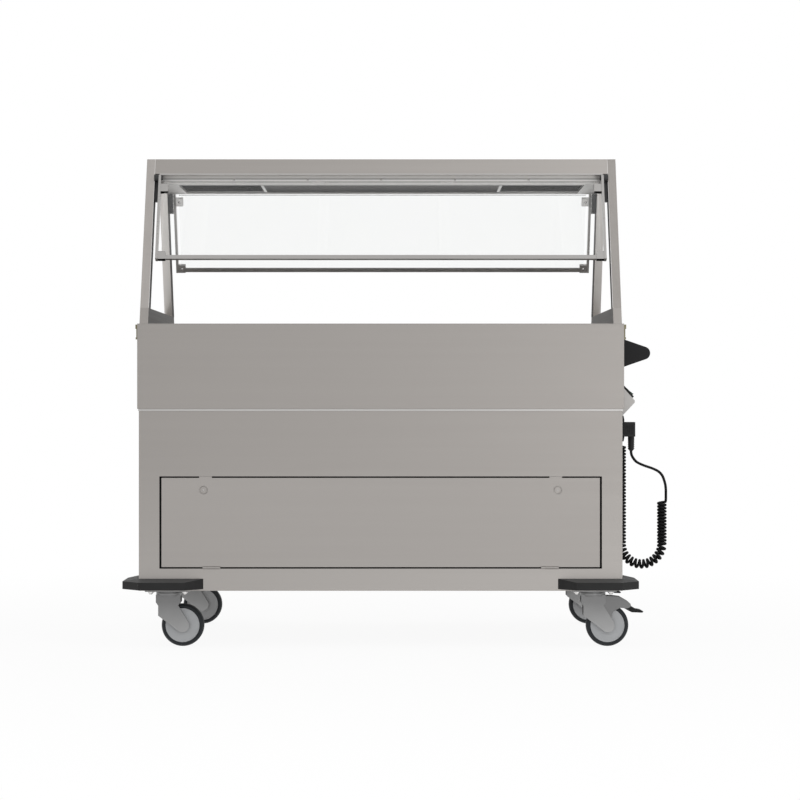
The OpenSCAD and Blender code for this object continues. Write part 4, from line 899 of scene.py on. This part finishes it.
# %% Ribs of the plug
SOCKET_Y, RELIEF_X, RELIEF_LOW, PLUG_X0 = -175, 602.0, 460, 583.7
RIB = [(6.8, -1.0), (7.9, -0.7), (8.1, 0), (7.9, 0.7), (6.8, 1.0)]
RIB_PITCH, RIDGE_PITCH = 4.6, 4
RIDGE_Y, RIDGE_Z = (18.8, 19.8), (500, 523)
ribs = Shape()
for i in range(6):
    ribs.turned(RIB, mm(RELIEF_X, SOCKET_Y, RELIEF_LOW + 5 + RIB_PITCH * i), (0, 0, 1), 28, closed=True)
for i in range(5):
    x = PLUG_X0 + 5 + RIDGE_PITCH * i
    for side in SIDES:
        y = sorted(SOCKET_Y + side * reach for reach in RIDGE_Y)
        ribs.block((x - 0.8, y[0], RIDGE_Z[0]), (x + 0.8, y[1], RIDGE_Z[1]), 0.4)
ribs.piece("plug_ribs", plug_rubber, "black_plastic")

# %% The gland's nut
NUT_X, GLAND_Y, GLAND_H = 571.2, -99.76, 503
NUT = [(12, 0), (14.2, 0), (15, 0.8), (15, 5.0), (14.2, 5.8), (12, 5.8)]
nut = Shape().turned(NUT, mm(NUT_X, GLAND_Y, GLAND_H), (1, 0, 0), 6, closed=True)
nut.piece("gland_nut", black_plastic, "black_plastic")

# %% [markdown]
# Each well drops through the worktop, and a low ground bead runs round its opening to keep water out.
# The bead is a frame between rounded outlines.

# %% Beads round the wells
WELL_W, WELL_L, WELL_R, WELL_PITCH = 306, 510, 8, 336


def rounded(half_x, half_y, radius, x, z):
    """A rounded rectangle's outline, level at a height."""
    points = []
    for corner, (sx, sy) in enumerate(((1, 1), (-1, 1), (-1, -1), (1, -1))):
        for step in range(7):
            a = math.radians(90 * corner + 15 * step)
            points.append(mm(x + sx * (half_x - radius) + radius * math.cos(a),
                             sy * (half_y - radius) + radius * math.sin(a), z))
    return points


WELL_BEAD = ((0.6, -0.2), (0.9, 0.7), (2.2, 1.0), (4.0, 0.6), (4.8, -0.2))
beads = Shape()
for i in (-1, 0, 1):
    beads.framed([rounded(WELL_W / 2 + grow, WELL_L / 2 + grow, WELL_R + grow, i * WELL_PITCH,
                          WORK + rise) for grow, rise in WELL_BEAD])
beads.piece("well_beads", ground_and_highlight_steel, "brushed_steel")

# %% [markdown]
# The body's sheets are riveted to the frame inside. The rivets follow the edges of the back and of the
# two narrow sides, which is where the posts stand; the guests' side is left clean.

# %% Rivets of the back and the sides
EDGE_IN, TOP_ROW = 11, 545
BODY_RIVET = [(2.6, -0.3), (2.6, 0.2), (2.1, 0.8), (1.1, 1.2), (0, 1.3)]
body_rivets = Shape()


def body_rivet(x, y, z, out):
    """One domed rivet that looks out along an axis."""
    body_rivets.turned(BODY_RIVET, mm(x, y, z), out, 16)


for side in SIDES:
    for z in range(170, TOP_ROW, 60):
        body_rivet(side * (CAB_X - EDGE_IN), CAB_Y, z, (0, 1, 0))
        for way in SIDES:
            body_rivet(side * CAB_X, way * (CAB_Y - EDGE_IN), z, (side, 0, 0))
for x in range(-480, 481, 120):
    body_rivet(x, CAB_Y, TOP_ROW, (0, 1, 0))
body_rivets.piece("body_rivets", screw_steel, "polished_steel")

# %% [markdown]
# The studio is a white room. The world shows pure white to the camera, to mirrors and through glass,
# and lights the trolley more gently. Two low lamps, the wide one on the right, give the steel its slow
# sweep of tone, and a high one lights the tops. The floor mixes a plain diffuse sheet, which takes the
# shadow, with a white glow that only rays from the camera, mirrors and glass see, so that it runs out
# into the white.

# %% The white room
def seen(finish):
    """1 for rays from the camera, a mirror or glass, and 0 for the rest."""
    path = finish.tree.nodes.new("ShaderNodeLightPath")
    camera_ray = Wire(finish, path.outputs["Is Camera Ray"])
    glossy = Wire(finish, path.outputs["Is Glossy Ray"])
    clear = Wire(finish, path.outputs["Is Transmission Ray"])
    return (camera_ray + glossy + clear).math("MINIMUM", 1.0)


class Room(Finish):
    """The world's nodes, built the same way."""

    def __init__(self, name):
        self.world = bpy.data.worlds.new(name)
        self.world.use_nodes = True
        self.tree = self.world.node_tree
        self.tree.nodes.clear()


ROOM_LIGHT = 0.78
room = Room("white_room")
strength = seen(room) * (1 - ROOM_LIGHT) + ROOM_LIGHT
sky = room.node("ShaderNodeBackground", {}, {"Color": (1, 1, 1, 1), "Strength": strength})
room_out = room.tree.nodes.new("ShaderNodeOutputWorld")
room.tree.links.new(sky.socket, room_out.inputs["Surface"])
bpy.context.scene.world = room.world
print(f"the room lights with a strength of {ROOM_LIGHT}")

# %% The floor
FLOOR_HALF = 20
ground = Finish("studio_floor")
sheet = ground.node("ShaderNodeBsdfDiffuse", {}, {"Color": (0.93, 0.93, 0.93, 1)})
glow = ground.node("ShaderNodeEmission", {}, {"Color": (1, 1, 1, 1), "Strength": 1.0})
away = ground.node("ShaderNodeVectorMath", {"operation": "LENGTH"}, {0: ground.place()}, output=1)
fading = ((away - 1.0) * 0.8).held()
share = seen(ground) * (fading * 0.08 + 0.92)
ground.end(ground.node("ShaderNodeMixShader", {}, {0: share, 1: sheet, 2: glow}))

bm = bmesh.new()
bmesh.ops.create_grid(bm, x_segments=1, y_segments=1, size=FLOOR_HALF)
floor_mesh = bpy.data.meshes.new("studio_floor")
bm.to_mesh(floor_mesh)
bm.free()
floor = bpy.data.objects.new("studio_floor", floor_mesh)
bpy.context.scene.collection.objects.link(floor)
floor.data.materials.append(ground.material)
print(f"the floor is {2 * FLOOR_HALF} m wide")


# %% The lamps
def soft_lamp(name, place, aim, size, power):
    """A square lamp that faces a point."""
    lamp = bpy.data.objects.new(name, bpy.data.lights.new(name, "AREA"))
    lamp.data.size = size
    lamp.data.energy = power
    lamp.location = place
    lamp.rotation_euler = (Vector(aim) - Vector(place)).to_track_quat("-Z", "Y").to_euler()
    bpy.context.scene.collection.objects.link(lamp)


soft_lamp("low_right_lamp", (1.7, -4.6, 0.25), (0, 0, 0.5), 1.6, 16)
soft_lamp("low_middle_lamp", (-0.5, -4.4, 0.16), (-0.2, 0, 0.1), 0.5, 1.5)
soft_lamp("high_right_lamp", (2.6, -2.6, 3.2), (0, 0, 0.6), 2.0, 26)
print("lamps:", *sorted(lamp.name for lamp in bpy.data.lights))

# %% [markdown]
# The view stays plain, without a film curve, so that white is white as in a catalogue. The trim and
# the cord must not make the trolley larger than its CAD model.

# %% The view
bpy.context.scene.view_settings.view_transform = "Standard"
